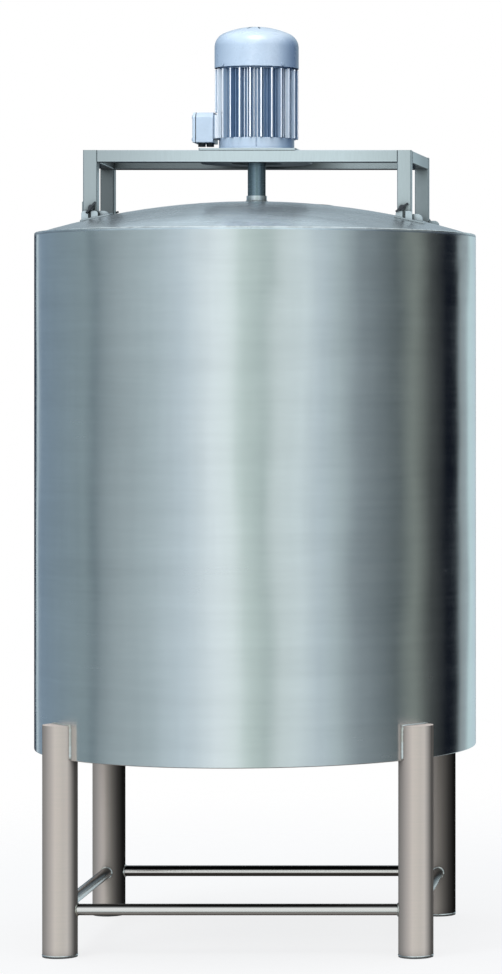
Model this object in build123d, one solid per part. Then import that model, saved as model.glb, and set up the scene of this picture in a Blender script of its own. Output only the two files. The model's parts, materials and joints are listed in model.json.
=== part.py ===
from build123d import *
from math import atan2, cos, pi, radians, sin, sqrt
import os

# Bulk milk tank: an insulated upright vessel on four tube legs, with a motor on a bridge over its
# domed top driving an agitator.  Millimetres.  The origin is on the floor, on the tank's axis.
# +Z is up, the front is -Y and the left is -X.

# ---------------------------------------------------------------- driving dimensions
SHELL_RADIUS = 550.0        # outside of the cladding
SHELL_WALL = 2.0
SHELL_BOTTOM = 479.0
SHELL_TOP = 1758.0          # where the dome's outer face meets the cladding
BOTTOM_PLATE = 3.0

DOME_RISE = 85.0
DOME_WALL = 4.0
DOME_EDGE_ROUNDING = 2.5

VESSEL_RADIUS = 500.0       # outside of the milk vessel
VESSEL_WALL = 3.0
FLOOR_PLATE = 4.0
FLOOR_SLOPE = 2.5           # degrees, falling towards the rear
FLOOR_MIDDLE = 535.0        # top of the floor plate on the tank's axis

LEG_RADIUS = 42.5
LEG_WALL = 2.5
LEG_X = 431.0
LEG_Y = 345.0
LEG_TOP = 561.0
LEG_CAP = 3.0
FOOT_PAD = 5.0
FOOT_SPIGOT = 20.0
STRETCHER_RADIUS = 14.0
STRETCHER_WALL = 2.0
STRETCHER_Z = 113.5

POST_SIZE = 35.0
POST_WALL = 2.5
POST_CORNER = 3.0
POST_X = 387.5              # front posts
REAR_SPREAD = 14.5          # each rear post stands this much further out
POST_Y = 164.0
BRIDGE_TOP = 1963.0
BEAM_HEIGHT = 30.0
PLATE_WIDTH = 240.0
PLATE_THICKNESS = 5.0
PLATE_CORNER = 4.0
LANTERN_RADIUS = 139.0      # round flange that hangs between the beams
LANTERN_BOTTOM = 1939.0
LANTERN_THICKNESS = 8.0
LANTERN_TUBE_RADIUS = 72.0
LANTERN_TUBE_WALL = 6.0

SHOE_THICKNESS = 4.0        # saddle plate between a post and the dome
SHOE_MARGIN = 6.0
SPIGOT_HEIGHT = 62.0
SPIGOT_PLAY = 0.4
SPIGOT_CORNER = 1.5
EAR_LENGTH = 26.0           # rounded lug on the right of each post's foot
EAR_HEIGHT = 16.0
EAR_THICKNESS = 10.0
EAR_ROUNDING = 12.0
JAW_HEIGHT = 21.0           # pair of lugs across the outer face of each post's foot
JAW_THICKNESS = 5.0
JAW_GAP = 7.0
JAW_ROUNDING = 8.0
JAW_PLAY = 0.3

SCREW_Z = 1820.5            # wing screws that lock the posts on their spigots
SCREW_INSET = 4.5           # from the post's middle, inwards
SCREW_RADIUS = 4.0
SCREW_STANDOFF = 6.0
SCREW_HUB_RADIUS = 7.0
SCREW_HUB_LENGTH = 8.0
WING_SPAN = 37.0
WING_THICKNESS = 4.5
WING_HEIGHT = 11.0

EARTH_PAD_THICKNESS = 3.0
EARTH_PAD_WIDTH = 24.0
EARTH_PAD_BOTTOM = 1807.0
EARTH_PAD_TOP = 1836.0

SHAFT_RADIUS = 22.5
SHAFT_TOP = 1955.0
SHAFT_BOTTOM = 640.0
NECK_RADIUS = 25.5
NECK_WALL = 1.5
NECK_TOP = 1858.0
NECK_DEPTH = 16.0           # below the dome's crown
NECK_SEAL_LENGTH = 12.0
RUNNING_CLEARANCE = 0.05

HUB_RADIUS = 36.0
HUB_HEIGHT = 64.0
HUB_RISE = 10.0             # above the shaft's end
BLADE_ROOT = 4.0            # from the shaft's face
BLADE_TIP_RADIUS = 185.0
BLADE_WIDTH = 70.0
BLADE_THICKNESS = 4.0
BLADE_PITCH = 45.0
BLADES = 3

MANWAY_Y = 340.0
MANWAY_RADIUS = 150.0
MANWAY_WALL = 3.0
MANWAY_TOP = 1844.0
MANWAY_SEAL = 3.0
LID_RADIUS = 155.0
LID_SHEET = 2.0
LID_SKIRT_BOTTOM = 1840.0
HANDLE_BAR_RADIUS = 4.5
HANDLE_REACH = 30.0
HANDLE_HALF_WIDTH = 48.0
HANDLE_CORNER = 12.0
HANDLE_TURN = 40.0          # degrees, from the right towards the rear
LID_CROWN = 7.0
LID_FLAT = 140.0            # where the crown ends and the flat rim starts
HINGE_X = -167.0
HINGE_Z = 1846.0
HINGE_PIN_RADIUS = 4.0
HINGE_PIN_HEAD = 6.5
HINGE_PIN_END = 3.0
HINGE_KNUCKLE = 8.0
HINGE_LUG_GAP = 30.0
HINGE_LUG_THICKNESS = 5.0
HINGE_LUG_DEPTH = 24.0
HINGE_TAB_THICKNESS = 7.0

OUTLET_Y = 395.0
OUTLET_Z = 431.0
PIPE_RADIUS = 26.5
PIPE_BORE = 25.0
ELBOW_RADIUS = 38.0
VALVE_Y = 455.0
VALVE_LENGTH = 40.0
VALVE_RADIUS = 38.0
VALVE_SHOULDER = 7.0
VALVE_ROUNDING = 3.0
STEM_BOSS_RADIUS = 11.0
STEM_BOSS_END = 50.0
BLIND_BOSS_RADIUS = 9.0
BLIND_BOSS_END = 42.0
SEAT_HALF_LENGTH = 9.0
SEAT_THICKNESS = 4.0
FERRULE_RADIUS = 32.0
FERRULE_THICKNESS = 6.0
SPOUT_END = 545.0
DISC_RADIUS = 24.4
DISC_THICKNESS = 5.0
STEM_RADIUS = 5.0
STEM_START = -32.0
STEM_END = 62.0
LEVER_LENGTH = 93.0
LEVER_WIDTH = 18.0
LEVER_NEAR = 56.0
LEVER_FAR = 61.0
LEVER_HUB_START = 51.0

MOTOR_BASE = BRIDGE_TOP + PLATE_THICKNESS
FLANGE_RADIUS = 100.0
FLANGE_THICKNESS = 8.0
FLANGE_SPIGOT = 65.0
FLANGE_SPIGOT_DEPTH = 3.5
BOLT_CIRCLE = 82.5
BOLT_RADIUS = 5.0
BOLT_HEAD_RADIUS = 9.0
BOLT_HEAD_HEIGHT = 6.4
BOLT_REACH = 9.0
BOLT_PLAY = 0.5
SHIELD_RADIUS = 94.0
SHIELD_WALL = 8.0
SHIELD_WEB = 10.0
SHIELD_BORE = 18.0
SHIELD_BOSS = 40.0
BEARING_SEAT = 12.0
DRAIN_SLOT_X = 11.5
DRAIN_SLOT_WIDTH = 3.0
DRAIN_SLOT_DEPTH = 3.0
HOUSING_BOTTOM = 2001.0
HOUSING_TOP = 2174.0
HOUSING_RADIUS = 85.0
HOUSING_BORE = 80.0
FIN_RADIUS = 104.5
FIN_COUNT = 24
FIN_THICKNESS = 3.2
FIN_ROOT = 6.0              # how deep the fins reach into the housing's wall
RIB_RADIUS = 93.0           # low ribs, two between each pair of fins
RIB_THICKNESS = 1.8
FIRST_FIN = -1.5            # degrees from the front
BOX_PAD_ROOT = -60.0        # cast pad behind the terminal box
BOX_PAD_INSET = 8.0
BOX_PAD_DROP = 6.0
BOX_ROOM = 1.0
FAN_SHIELD_RADIUS = 92.0
FAN_SHIELD_THICKNESS = 8.0
FAN_SHIELD_BOSS = 34.0
FAN_SHIELD_LIP = 3.0
COWL_LUG = (24.0, 14.0, 11.0)
COWL_LUG_RADIUS = 94.0
COWL_RADIUS = 105.0
COWL_WALL = 1.5
COWL_BOTTOM = 2178.0
COWL_SHOULDER = 2231.0
COWL_TOP = 2283.0
COWL_ROUNDING = 38.0
AIR_SLOTS = 12
AIR_SLOT_LENGTH = 44.0
AIR_SLOT_WIDTH = 5.0
AIR_SLOT_RADIUS = 36.0
COWL_SCREWS = 4
COWL_SCREW_RADIUS = 2.5
COWL_SCREW_HEAD = 4.5
COWL_SCREW_LENGTH = 10.0
SCREW_HEAD_HEIGHT = 2.0
MOTOR_SHAFT_RADIUS = 14.0
MOTOR_SHAFT_REACH = 60.0    # below the motor's mounting face
ROTOR_RADIUS = 51.5
CORE_BOTTOM = 2030.0
CORE_TOP = 2150.0
BEARING_WIDTH = 16.0
LOWER_BEARING_RADIUS = 31.0
UPPER_BEARING_RADIUS = 26.0
AIR_GAP = 0.5
WINDING_OUTER = 76.0
WINDING_INNER = 56.0
WINDING_BELOW = 22.0
WINDING_ABOVE = 20.0
WINDING_ROUNDING = 5.0
FAN_RADIUS = 85.0
FAN_BOTTOM = 2197.0
FAN_HEIGHT = 28.0
FAN_BLADES = 8
FAN_HUB_RADIUS = 25.0
FAN_DISC_THICKNESS = 3.0
FAN_BLADE_THICKNESS = 2.5

BOX_IN = -104.0             # terminal box: its face on the motor, and its lid side
BOX_OUT = -146.0
BOX_DEPTH = 90.0
BOX_BOTTOM = 1990.0
BOX_TOP = 2066.0
BOX_WALL = 3.0
BOX_CHAMFER = 12.0
BOX_SEAL = 2.0
BOX_LID = 7.5
BOX_BOSS = 6.0
BOX_CORNER = 2.5
BOX_SCREW_RADIUS = 2.0
BOX_SCREW_HEAD = 4.0
BOX_SCREW_DEPTH = 9.0
LID_PLUG_Z = 2041.0
LID_PLUG_RADIUS = 12.0
LID_PLUG_HEIGHT = 4.0
PLUG_STEM = 6.0             # radius of every plug's stem
ENTRY_X = (-136.0, -115.0)  # the two blanked entries under the box
ENTRY_Y = -12.0
ENTRY_PLUG_RADIUS = 9.5
ENTRY_PLUG_HEIGHT = 9.0
GLAND_X = -125.0
GLAND_Z = 2028.0
GLAND_THREAD = 10.0
GLAND_BORE = 6.0
GLAND_HEX = 13.0
GLAND_HEX_LENGTH = 6.0
GLAND_NUT_LENGTH = 14.0
GLAND_NUT_BASE = 12.0
GLAND_NUT_TIP = 8.5
BOARD_HALF_WIDTH = 26.0
BOARD_BOTTOM = 2006.0
BOARD_TOP = 2046.0
BOARD_THICKNESS = 8.0
STUD_RADIUS = 2.5
STUD_LENGTH = 10.0
STUD_Y = (-16.0, 0.0, 16.0)
STUD_Z = (2016.0, 2036.0)

# ---------------------------------------------------------------- derived places
DOME_RADIUS = (SHELL_RADIUS**2 + DOME_RISE**2) / (2 * DOME_RISE)
DOME_TOP = SHELL_TOP + DOME_RISE
DOME_CENTRE = DOME_TOP - DOME_RADIUS
COWL_RISE = COWL_TOP - COWL_SHOULDER
COWL_FLAT = COWL_RADIUS - COWL_ROUNDING
COWL_SCREW_Z = HOUSING_TOP + 10.5
BEARING_BOTTOM = MOTOR_BASE + BEARING_SEAT
FAN_TOP = FAN_BOTTOM + FAN_HEIGHT
HALF_POST = POST_SIZE / 2
# The crown's sphere is tangent to the shoulder's arc.
COWL_CROWN_RADIUS = (COWL_FLAT**2 + COWL_RISE**2 - COWL_ROUNDING**2) / (2 * (COWL_RISE - COWL_ROUNDING))
REACH = 1400.0              # longer than the object is wide: for trimming solids

CORNERS = {
    "front_left": (-1, -1),
    "front_right": (1, -1),
    "rear_left": (-1, 1),
    "rear_right": (1, 1),
}
WING_ANGLE = {"front_left": 51.0, "front_right": 34.0, "rear_left": 20.0, "rear_right": -35.0}

os.makedirs("parts", exist_ok=True)


# ---------------------------------------------------------------- helpers
def save(name, shape):
    """Writes one sub-part: a solid, or a list of separate solids as a group."""
    solids = []
    for item in shape if isinstance(shape, list) else [shape]:
        solids.extend(item.solids())
    body = solids[0] if len(solids) == 1 else Compound(children=solids)
    body.label = name
    export_step(body, f"parts/{name}.step")


def upright(radius, low, high, x=0.0, y=0.0):
    """A vertical cylinder from z = low to z = high."""
    return Pos(x, y, (low + high) / 2) * Cylinder(radius, high - low)


def tube(outer, inner, low, high, x=0.0, y=0.0):
    """A vertical tube."""
    return upright(outer, low, high, x, y) - upright(inner, low - 1, high + 1, x, y)


def along_x(radius, start, end, y, z):
    """A cylinder parallel to X."""
    return Pos((start + end) / 2, y, z) * Rot(0, 90, 0) * Cylinder(radius, end - start)


def along_y(radius, start, end, x, z):
    """A cylinder parallel to Y."""
    return Pos(x, (start + end) / 2, z) * Rot(90, 0, 0) * Cylinder(radius, end - start)


def block(low, high):
    """A box given by two opposite corners."""
    size = [high[i] - low[i] for i in range(3)]
    middle = [(high[i] + low[i]) / 2 for i in range(3)]
    return Pos(*middle) * Box(*size)


def turned(points):
    """A body of revolution about Z from (radius, z) points."""
    outline = Polyline(*points, close=True)
    return revolve(Plane.XZ * make_face(outline), Axis.Z)


def dome_ball(offset):
    """Everything inside the dome's sphere, grown by offset."""
    return Pos(0, 0, DOME_CENTRE) * Sphere(DOME_RADIUS + offset)


def dome_height(x, y):
    """Height of the dome's outer face."""
    return DOME_CENTRE + sqrt(DOME_RADIUS**2 - x**2 - y**2)


def below_floor(offset):
    """Everything below the vessel floor's top face, moved down by offset."""
    slab = Pos(0, 0, -REACH / 2 - offset) * Box(2 * REACH, 2 * REACH, REACH)
    return Pos(0, 0, FLOOR_MIDDLE) * Rot(-FLOOR_SLOPE, 0, 0) * slab


def square_tube(width, depth, length, wall, corner):
    """A rectangular tube with rounded corners, standing on z = 0."""
    outer = extrude(RectangleRounded(width, depth, corner), length)
    bore = RectangleRounded(width - 2 * wall, depth - 2 * wall, corner / 2)
    return outer - extrude(bore, length)


def polar_places(count, radius, first=0.0):
    """Places evenly round the Z axis, each with its local X pointing outwards."""
    places = []
    for i in range(count):
        places.append(Rot(0, 0, first + 360 * i / count) * Pos(radius, 0, 0))
    return places


# ---------------------------------------------------------------- tank
def outer_shell():
    wall = tube(SHELL_RADIUS, SHELL_RADIUS - SHELL_WALL, SHELL_BOTTOM, DOME_TOP)
    return wall & dome_ball(-DOME_WALL)


def bottom_cover():
    plate = upright(SHELL_RADIUS - SHELL_WALL, SHELL_BOTTOM, SHELL_BOTTOM + BOTTOM_PLATE)
    return plate - upright(PIPE_RADIUS, SHELL_BOTTOM - 1, SHELL_BOTTOM + 10, y=OUTLET_Y)


def dome_cover():
    cap = (dome_ball(0) - dome_ball(-DOME_WALL)) & upright(SHELL_RADIUS, SHELL_TOP - 40, DOME_TOP + 1)
    rims = cap.edges().filter_by(GeomType.CIRCLE).sort_by(SortBy.RADIUS)
    outer_rim = rims.filter_by(lambda edge: abs(edge.center().Z - SHELL_TOP) < 0.5)
    cap = fillet(outer_rim, DOME_EDGE_ROUNDING)
    cap -= upright(NECK_RADIUS, DOME_TOP - 60, DOME_TOP + 10)
    return cap - upright(MANWAY_RADIUS, SHELL_TOP - 60, DOME_TOP + 10, y=MANWAY_Y)


def inner_vessel():
    wall = tube(VESSEL_RADIUS, VESSEL_RADIUS - VESSEL_WALL, SHELL_BOTTOM, DOME_TOP)
    wall -= below_floor(FLOOR_PLATE)
    floor = below_floor(0) - below_floor(FLOOR_PLATE)
    floor &= upright(VESSEL_RADIUS - VESSEL_WALL / 2, SHELL_BOTTOM, SHELL_TOP)
    vessel = (wall + floor) & dome_ball(-DOME_WALL)
    return vessel - upright(PIPE_RADIUS, SHELL_BOTTOM, FLOOR_MIDDLE + 60, y=OUTLET_Y)


def insulation():
    top_of_plate = SHELL_BOTTOM + BOTTOM_PLATE
    foam = upright(SHELL_RADIUS - SHELL_WALL, top_of_plate, DOME_TOP) & dome_ball(-DOME_WALL)
    milk_side = upright(VESSEL_RADIUS, top_of_plate - 1, DOME_TOP + 1) - below_floor(FLOOR_PLATE)
    foam -= milk_side
    return foam - upright(PIPE_RADIUS, SHELL_BOTTOM, FLOOR_MIDDLE, y=OUTLET_Y)


def leg(side_x, side_y):
    x, y = side_x * LEG_X, side_y * LEG_Y
    post = tube(LEG_RADIUS, LEG_RADIUS - LEG_WALL, FOOT_PAD, LEG_TOP - LEG_CAP, x, y)
    return post - upright(SHELL_RADIUS, SHELL_BOTTOM, LEG_TOP + 10)


def leg_cap(side_x, side_y):
    cap = upright(LEG_RADIUS, LEG_TOP - LEG_CAP, LEG_TOP, side_x * LEG_X, side_y * LEG_Y)
    return cap - upright(SHELL_RADIUS, SHELL_BOTTOM, LEG_TOP + 10)


def foot_plug(side_x, side_y):
    x, y = side_x * LEG_X, side_y * LEG_Y
    pad = upright(LEG_RADIUS, 0, FOOT_PAD, x, y)
    return pad + upright(LEG_RADIUS - LEG_WALL, FOOT_PAD - 1, FOOT_PAD + FOOT_SPIGOT, x, y)


def stretcher(bar, bore):
    rail = bar - bore
    for side_x, side_y in CORNERS.values():
        rail -= upright(LEG_RADIUS, 0, LEG_TOP, side_x * LEG_X, side_y * LEG_Y)
    return rail.solids().sort_by(SortBy.VOLUME)[-1]


def stretchers_front_rear():
    bore = STRETCHER_RADIUS - STRETCHER_WALL
    rails = []
    for y in (-LEG_Y, LEG_Y):
        bar = along_x(STRETCHER_RADIUS, -LEG_X, LEG_X, y, STRETCHER_Z)
        rails.append(stretcher(bar, along_x(bore, -LEG_X, LEG_X, y, STRETCHER_Z)))
    return rails


def stretchers_left_right():
    bore = STRETCHER_RADIUS - STRETCHER_WALL
    rails = []
    for x in (-LEG_X, LEG_X):
        bar = along_y(STRETCHER_RADIUS, -LEG_Y, LEG_Y, x, STRETCHER_Z)
        rails.append(stretcher(bar, along_y(bore, -LEG_Y, LEG_Y, x, STRETCHER_Z)))
    return rails


# ---------------------------------------------------------------- bridge
def post_x(side_x, side_y):
    """Middle of a post."""
    return side_x * (POST_X + (REAR_SPREAD if side_y > 0 else 0))


def screw_x(side_x, side_y):
    return post_x(side_x, side_y) - side_x * SCREW_INSET


def bridge_post(side_x, side_y):
    base = SHELL_TOP
    length = BRIDGE_TOP - base
    inner = POST_SIZE - 2 * POST_WALL
    post = extrude(RectangleRounded(POST_SIZE, POST_SIZE, POST_CORNER), length)
    post -= extrude(RectangleRounded(inner, inner, POST_CORNER / 2), length - POST_WALL)
    post = Pos(post_x(side_x, side_y), side_y * POST_Y, base) * post
    post -= dome_ball(SHOE_THICKNESS)
    post_face = side_y * (POST_Y + POST_SIZE / 2)
    near, far = sorted((post_face - side_y * (POST_WALL + 1), post_face + side_y))
    hole = SCREW_RADIUS + RUNNING_CLEARANCE
    return post - along_y(hole, near, far, screw_x(side_x, side_y), SCREW_Z)


def earthing_pad():
    """Small plate on the outer face of the front left post."""
    face = -POST_X - HALF_POST
    half = EARTH_PAD_WIDTH / 2
    return block(
        (face - EARTH_PAD_THICKNESS, -POST_Y - half, EARTH_PAD_BOTTOM),
        (face, -POST_Y + half, EARTH_PAD_TOP),
    )


def bracket_shoe(x, y):
    """Plate that lies on the dome under a post and its ear."""
    reach = HALF_POST + SHOE_MARGIN
    patch = block((x - reach, y - reach, SHELL_TOP - 20), (x + reach + EAR_LENGTH, y + reach, DOME_TOP))
    return (dome_ball(SHOE_THICKNESS) - dome_ball(0)) & patch


def bracket_ear(x, y):
    """Lug with one rounded corner, to the right of the post."""
    start = x + HALF_POST + SPIGOT_PLAY
    top = dome_height(start, y) + EAR_HEIGHT
    half = EAR_THICKNESS / 2
    ear = block((start, y - half, SHELL_TOP), (start + EAR_LENGTH, y + half, top))
    crest = ear.edges().filter_by(Axis.Y).sort_by(Axis.Z)[-2:]
    return fillet(crest.sort_by(Axis.X)[-1], EAR_ROUNDING)


def bracket_jaws(x, side_y):
    """Two rounded lugs with a gap between them, across the post's outer face."""
    face = POST_Y + HALF_POST + JAW_PLAY
    near, far = sorted((side_y * face, side_y * (face + JAW_THICKNESS)))
    top = dome_height(x, face) + JAW_HEIGHT
    half = HALF_POST + SHOE_MARGIN / 2
    jaws = block((x - half, near, SHELL_TOP), (x + half, far, top))
    jaws = fillet(jaws.edges().filter_by(Axis.Y).sort_by(Axis.Z)[-2:], JAW_ROUNDING)
    gap_bottom = top - JAW_HEIGHT + SHOE_THICKNESS
    return jaws - block((x - JAW_GAP / 2, near - 1, gap_bottom), (x + JAW_GAP / 2, far + 1, top + 1))


def post_bracket(side_x, side_y):
    """Shoe, spigot inside the post, ear and jaws, welded together."""
    x, y = post_x(side_x, side_y), side_y * POST_Y
    size = POST_SIZE - 2 * POST_WALL - 2 * SPIGOT_PLAY
    length = dome_height(x, y) + SPIGOT_HEIGHT - SHELL_TOP
    spigot = Pos(x, y, SHELL_TOP) * extrude(RectangleRounded(size, size, SPIGOT_CORNER), length)
    upstand = spigot + bracket_ear(x, y) + bracket_jaws(x, side_y)
    return bracket_shoe(x, y) + (upstand - dome_ball(SHOE_THICKNESS / 2))


def wing_screw(side_x, side_y, angle):
    """Shank through the post's wall, round hub and two rounded wings."""
    face = POST_Y + HALF_POST
    shank_end = face - POST_WALL - SPIGOT_PLAY / 2
    hub_start = face + SCREW_STANDOFF
    screw = along_y(SCREW_RADIUS, shank_end, hub_start + 1, 0, 0)
    screw += along_y(SCREW_HUB_RADIUS, hub_start, hub_start + SCREW_HUB_LENGTH, 0, 0)
    wing_y = hub_start + 1 + WING_HEIGHT / 2
    tip = WING_SPAN / 2 - WING_HEIGHT / 2
    screw += Pos(0, wing_y, 0) * Box(2 * tip, WING_HEIGHT, WING_THICKNESS)
    for direction in (-1, 1):
        screw += Pos(direction * tip, wing_y, 0) * Cylinder(WING_HEIGHT / 2, WING_THICKNESS)
    screw = Rot(0, -angle, 0) * screw
    if side_y < 0:
        screw = Rot(0, 0, 180) * Rot(0, 2 * angle, 0) * screw
    return Pos(screw_x(side_x, side_y), 0, SCREW_Z) * screw


def beam_along_x(side_y):
    length = 2 * (post_x(1, side_y) - HALF_POST)
    beam = square_tube(BEAM_HEIGHT, POST_SIZE, length, POST_WALL, POST_CORNER)
    centre_z = BRIDGE_TOP - BEAM_HEIGHT / 2
    return Pos(-length / 2, side_y * POST_Y, centre_z) * Rot(0, 90, 0) * beam


def end_beam(side_x):
    """Runs from a front post to a rear post, a little askew, with its ends cut flat on them."""
    beam = square_tube(POST_SIZE, BEAM_HEIGHT, 2 * POST_Y, POST_WALL, POST_CORNER)
    beam = Pos(0, POST_Y, BRIDGE_TOP - BEAM_HEIGHT / 2) * Rot(90, 0, 0) * beam
    askew = -side_x * atan2(REAR_SPREAD, 2 * POST_Y) * 180 / pi
    beam = Pos(side_x * (POST_X + REAR_SPREAD / 2), 0, 0) * Rot(0, 0, askew) * beam
    half = POST_Y - HALF_POST
    return beam & block((-REACH, -half, SHELL_TOP), (REACH, half, COWL_TOP))


def motor_plate():
    """Top plate on the beams, with a short tube under it that carries the round lantern flange."""
    depth = 2 * POST_Y + POST_SIZE
    plate = Pos(0, 0, BRIDGE_TOP + PLATE_THICKNESS / 2) * Box(PLATE_WIDTH, depth, PLATE_THICKNESS)
    plate = fillet(plate.edges().filter_by(Axis.Z), PLATE_CORNER)
    plate -= upright(FLANGE_SPIGOT, BRIDGE_TOP - 1, MOTOR_BASE + 1)
    for place in polar_places(4, BOLT_CIRCLE, 45):
        plate -= place * upright(BOLT_RADIUS + BOLT_PLAY, BRIDGE_TOP - 1, MOTOR_BASE + 1)
    bore = LANTERN_TUBE_RADIUS - LANTERN_TUBE_WALL
    plate += tube(LANTERN_TUBE_RADIUS, bore, LANTERN_BOTTOM, BRIDGE_TOP + 1)
    return plate + tube(LANTERN_RADIUS, bore, LANTERN_BOTTOM, LANTERN_BOTTOM + LANTERN_THICKNESS)


# ---------------------------------------------------------------- agitator
def shaft_neck():
    return tube(NECK_RADIUS, NECK_RADIUS - NECK_WALL, DOME_TOP - NECK_DEPTH, NECK_TOP)


def shaft_seal():
    top = NECK_TOP - 1
    return tube(NECK_RADIUS - NECK_WALL, SHAFT_RADIUS + RUNNING_CLEARANCE, top - NECK_SEAL_LENGTH, top)


def agitator_shaft():
    shaft = upright(SHAFT_RADIUS, SHAFT_BOTTOM, SHAFT_TOP)
    return shaft - upright(MOTOR_SHAFT_RADIUS, MOTOR_BASE - MOTOR_SHAFT_REACH - 2, SHAFT_TOP + 1)


def impeller():
    low = SHAFT_BOTTOM + HUB_RISE
    middle = low + HUB_HEIGHT / 2
    hub = tube(HUB_RADIUS, SHAFT_RADIUS, low, low + HUB_HEIGHT)
    length = BLADE_TIP_RADIUS - SHAFT_RADIUS - BLADE_ROOT
    blade = Rot(BLADE_PITCH, 0, 0) * Box(length, BLADE_THICKNESS, BLADE_WIDTH)
    for place in polar_places(BLADES, BLADE_TIP_RADIUS - length / 2, 30):
        hub += place * Pos(0, 0, middle) * blade
    return hub - upright(SHAFT_RADIUS, middle - BLADE_WIDTH, middle + BLADE_WIDTH)


# ---------------------------------------------------------------- motor
def drive_end_shield():
    """Mounting flange with its spigot, a skirt up to the housing and the lower bearing's seat."""
    web_top = MOTOR_BASE + SHIELD_WEB
    flange_top = MOTOR_BASE + FLANGE_THICKNESS
    spigot_end = MOTOR_BASE - FLANGE_SPIGOT_DEPTH
    inner = SHIELD_RADIUS - SHIELD_WALL
    bearing_top = BEARING_BOTTOM + BEARING_WIDTH
    shield = turned([
        (SHIELD_BORE, spigot_end),
        (FLANGE_SPIGOT, spigot_end),
        (FLANGE_SPIGOT, MOTOR_BASE),
        (FLANGE_RADIUS, MOTOR_BASE),
        (FLANGE_RADIUS, flange_top),
        (SHIELD_RADIUS, flange_top),
        (SHIELD_RADIUS, HOUSING_BOTTOM),
        (inner, HOUSING_BOTTOM),
        (inner, web_top),
        (SHIELD_BOSS, web_top),
        (SHIELD_BOSS, bearing_top),
        (LOWER_BEARING_RADIUS, bearing_top),
        (LOWER_BEARING_RADIUS, BEARING_BOTTOM),
        (SHIELD_BORE, BEARING_BOTTOM),
    ])
    for place in polar_places(4, BOLT_CIRCLE, 45):
        shield -= place * upright(BOLT_RADIUS, MOTOR_BASE - 1, web_top + 1)
    half = DRAIN_SLOT_WIDTH / 2
    low = (DRAIN_SLOT_X - half, -SHIELD_RADIUS - 2, flange_top + 1)
    high = (DRAIN_SLOT_X + half, -SHIELD_RADIUS + DRAIN_SLOT_DEPTH, HOUSING_BOTTOM)
    return shield - block(low, high)


def housing_fins(tip_radius, thickness, first):
    """One fin for each pitch round the housing, the first one at that angle from the front."""
    root = HOUSING_RADIUS - FIN_ROOT
    fin = Box(tip_radius - root, thickness, HOUSING_TOP - HOUSING_BOTTOM)
    middle = Pos(0, 0, (HOUSING_BOTTOM + HOUSING_TOP) / 2)
    return [place * middle * fin for place in polar_places(FIN_COUNT, (tip_radius + root) / 2, first - 90)]


def motor_housing():
    """Finned tube, cut away round the terminal box, which sits on a cast pad."""
    pitch = 360 / FIN_COUNT
    housing = upright(HOUSING_RADIUS, HOUSING_BOTTOM, HOUSING_TOP)
    fins = housing_fins(FIN_RADIUS, FIN_THICKNESS, FIRST_FIN)
    fins += housing_fins(RIB_RADIUS, RIB_THICKNESS, FIRST_FIN + pitch / 3)
    fins += housing_fins(RIB_RADIUS, RIB_THICKNESS, FIRST_FIN + pitch * 2 / 3)
    for fin in fins:
        housing += fin
    room = BOX_DEPTH / 2 + BOX_ROOM
    pad = BOX_DEPTH / 2 - BOX_PAD_INSET
    box_room = block(
        (-FIN_RADIUS - 5, -room, HOUSING_BOTTOM - 1),
        (BOX_PAD_ROOT, room, BOX_TOP + BOX_ROOM),
    )
    housing -= box_room - upright(HOUSING_RADIUS, HOUSING_BOTTOM - 2, HOUSING_TOP)
    housing += block((BOX_IN, -pad, HOUSING_BOTTOM), (BOX_PAD_ROOT, pad, BOX_TOP - BOX_PAD_DROP))
    return housing - upright(HOUSING_BORE, HOUSING_BOTTOM - 1, HOUSING_TOP + 1)


def fan_end_shield():
    """Disc with the upper bearing's seat and the lugs that the cowl is screwed to."""
    plate_top = HOUSING_TOP + FAN_SHIELD_THICKNESS
    bearing_top = HOUSING_TOP + BEARING_WIDTH
    lip_top = bearing_top + FAN_SHIELD_LIP
    shield = turned([
        (UPPER_BEARING_RADIUS, HOUSING_TOP),
        (FAN_SHIELD_RADIUS, HOUSING_TOP),
        (FAN_SHIELD_RADIUS, plate_top),
        (FAN_SHIELD_BOSS, plate_top),
        (FAN_SHIELD_BOSS, lip_top),
        (SHIELD_BORE, lip_top),
        (SHIELD_BORE, bearing_top),
        (UPPER_BEARING_RADIUS, bearing_top),
    ])
    inside_cowl = upright(COWL_RADIUS - COWL_WALL, HOUSING_TOP, COWL_SHOULDER)
    for place in polar_places(COWL_SCREWS, COWL_LUG_RADIUS, 45):
        shield += (place * Pos(0, 0, COWL_SCREW_Z - 0.5) * Box(*COWL_LUG)) & inside_cowl
    for place in polar_places(COWL_SCREWS, COWL_RADIUS - 5, 45):
        shield -= place * Pos(0, 0, COWL_SCREW_Z) * Rot(0, 90, 0) * Cylinder(COWL_SCREW_RADIUS, COWL_LUG[0])
    return shield


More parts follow.
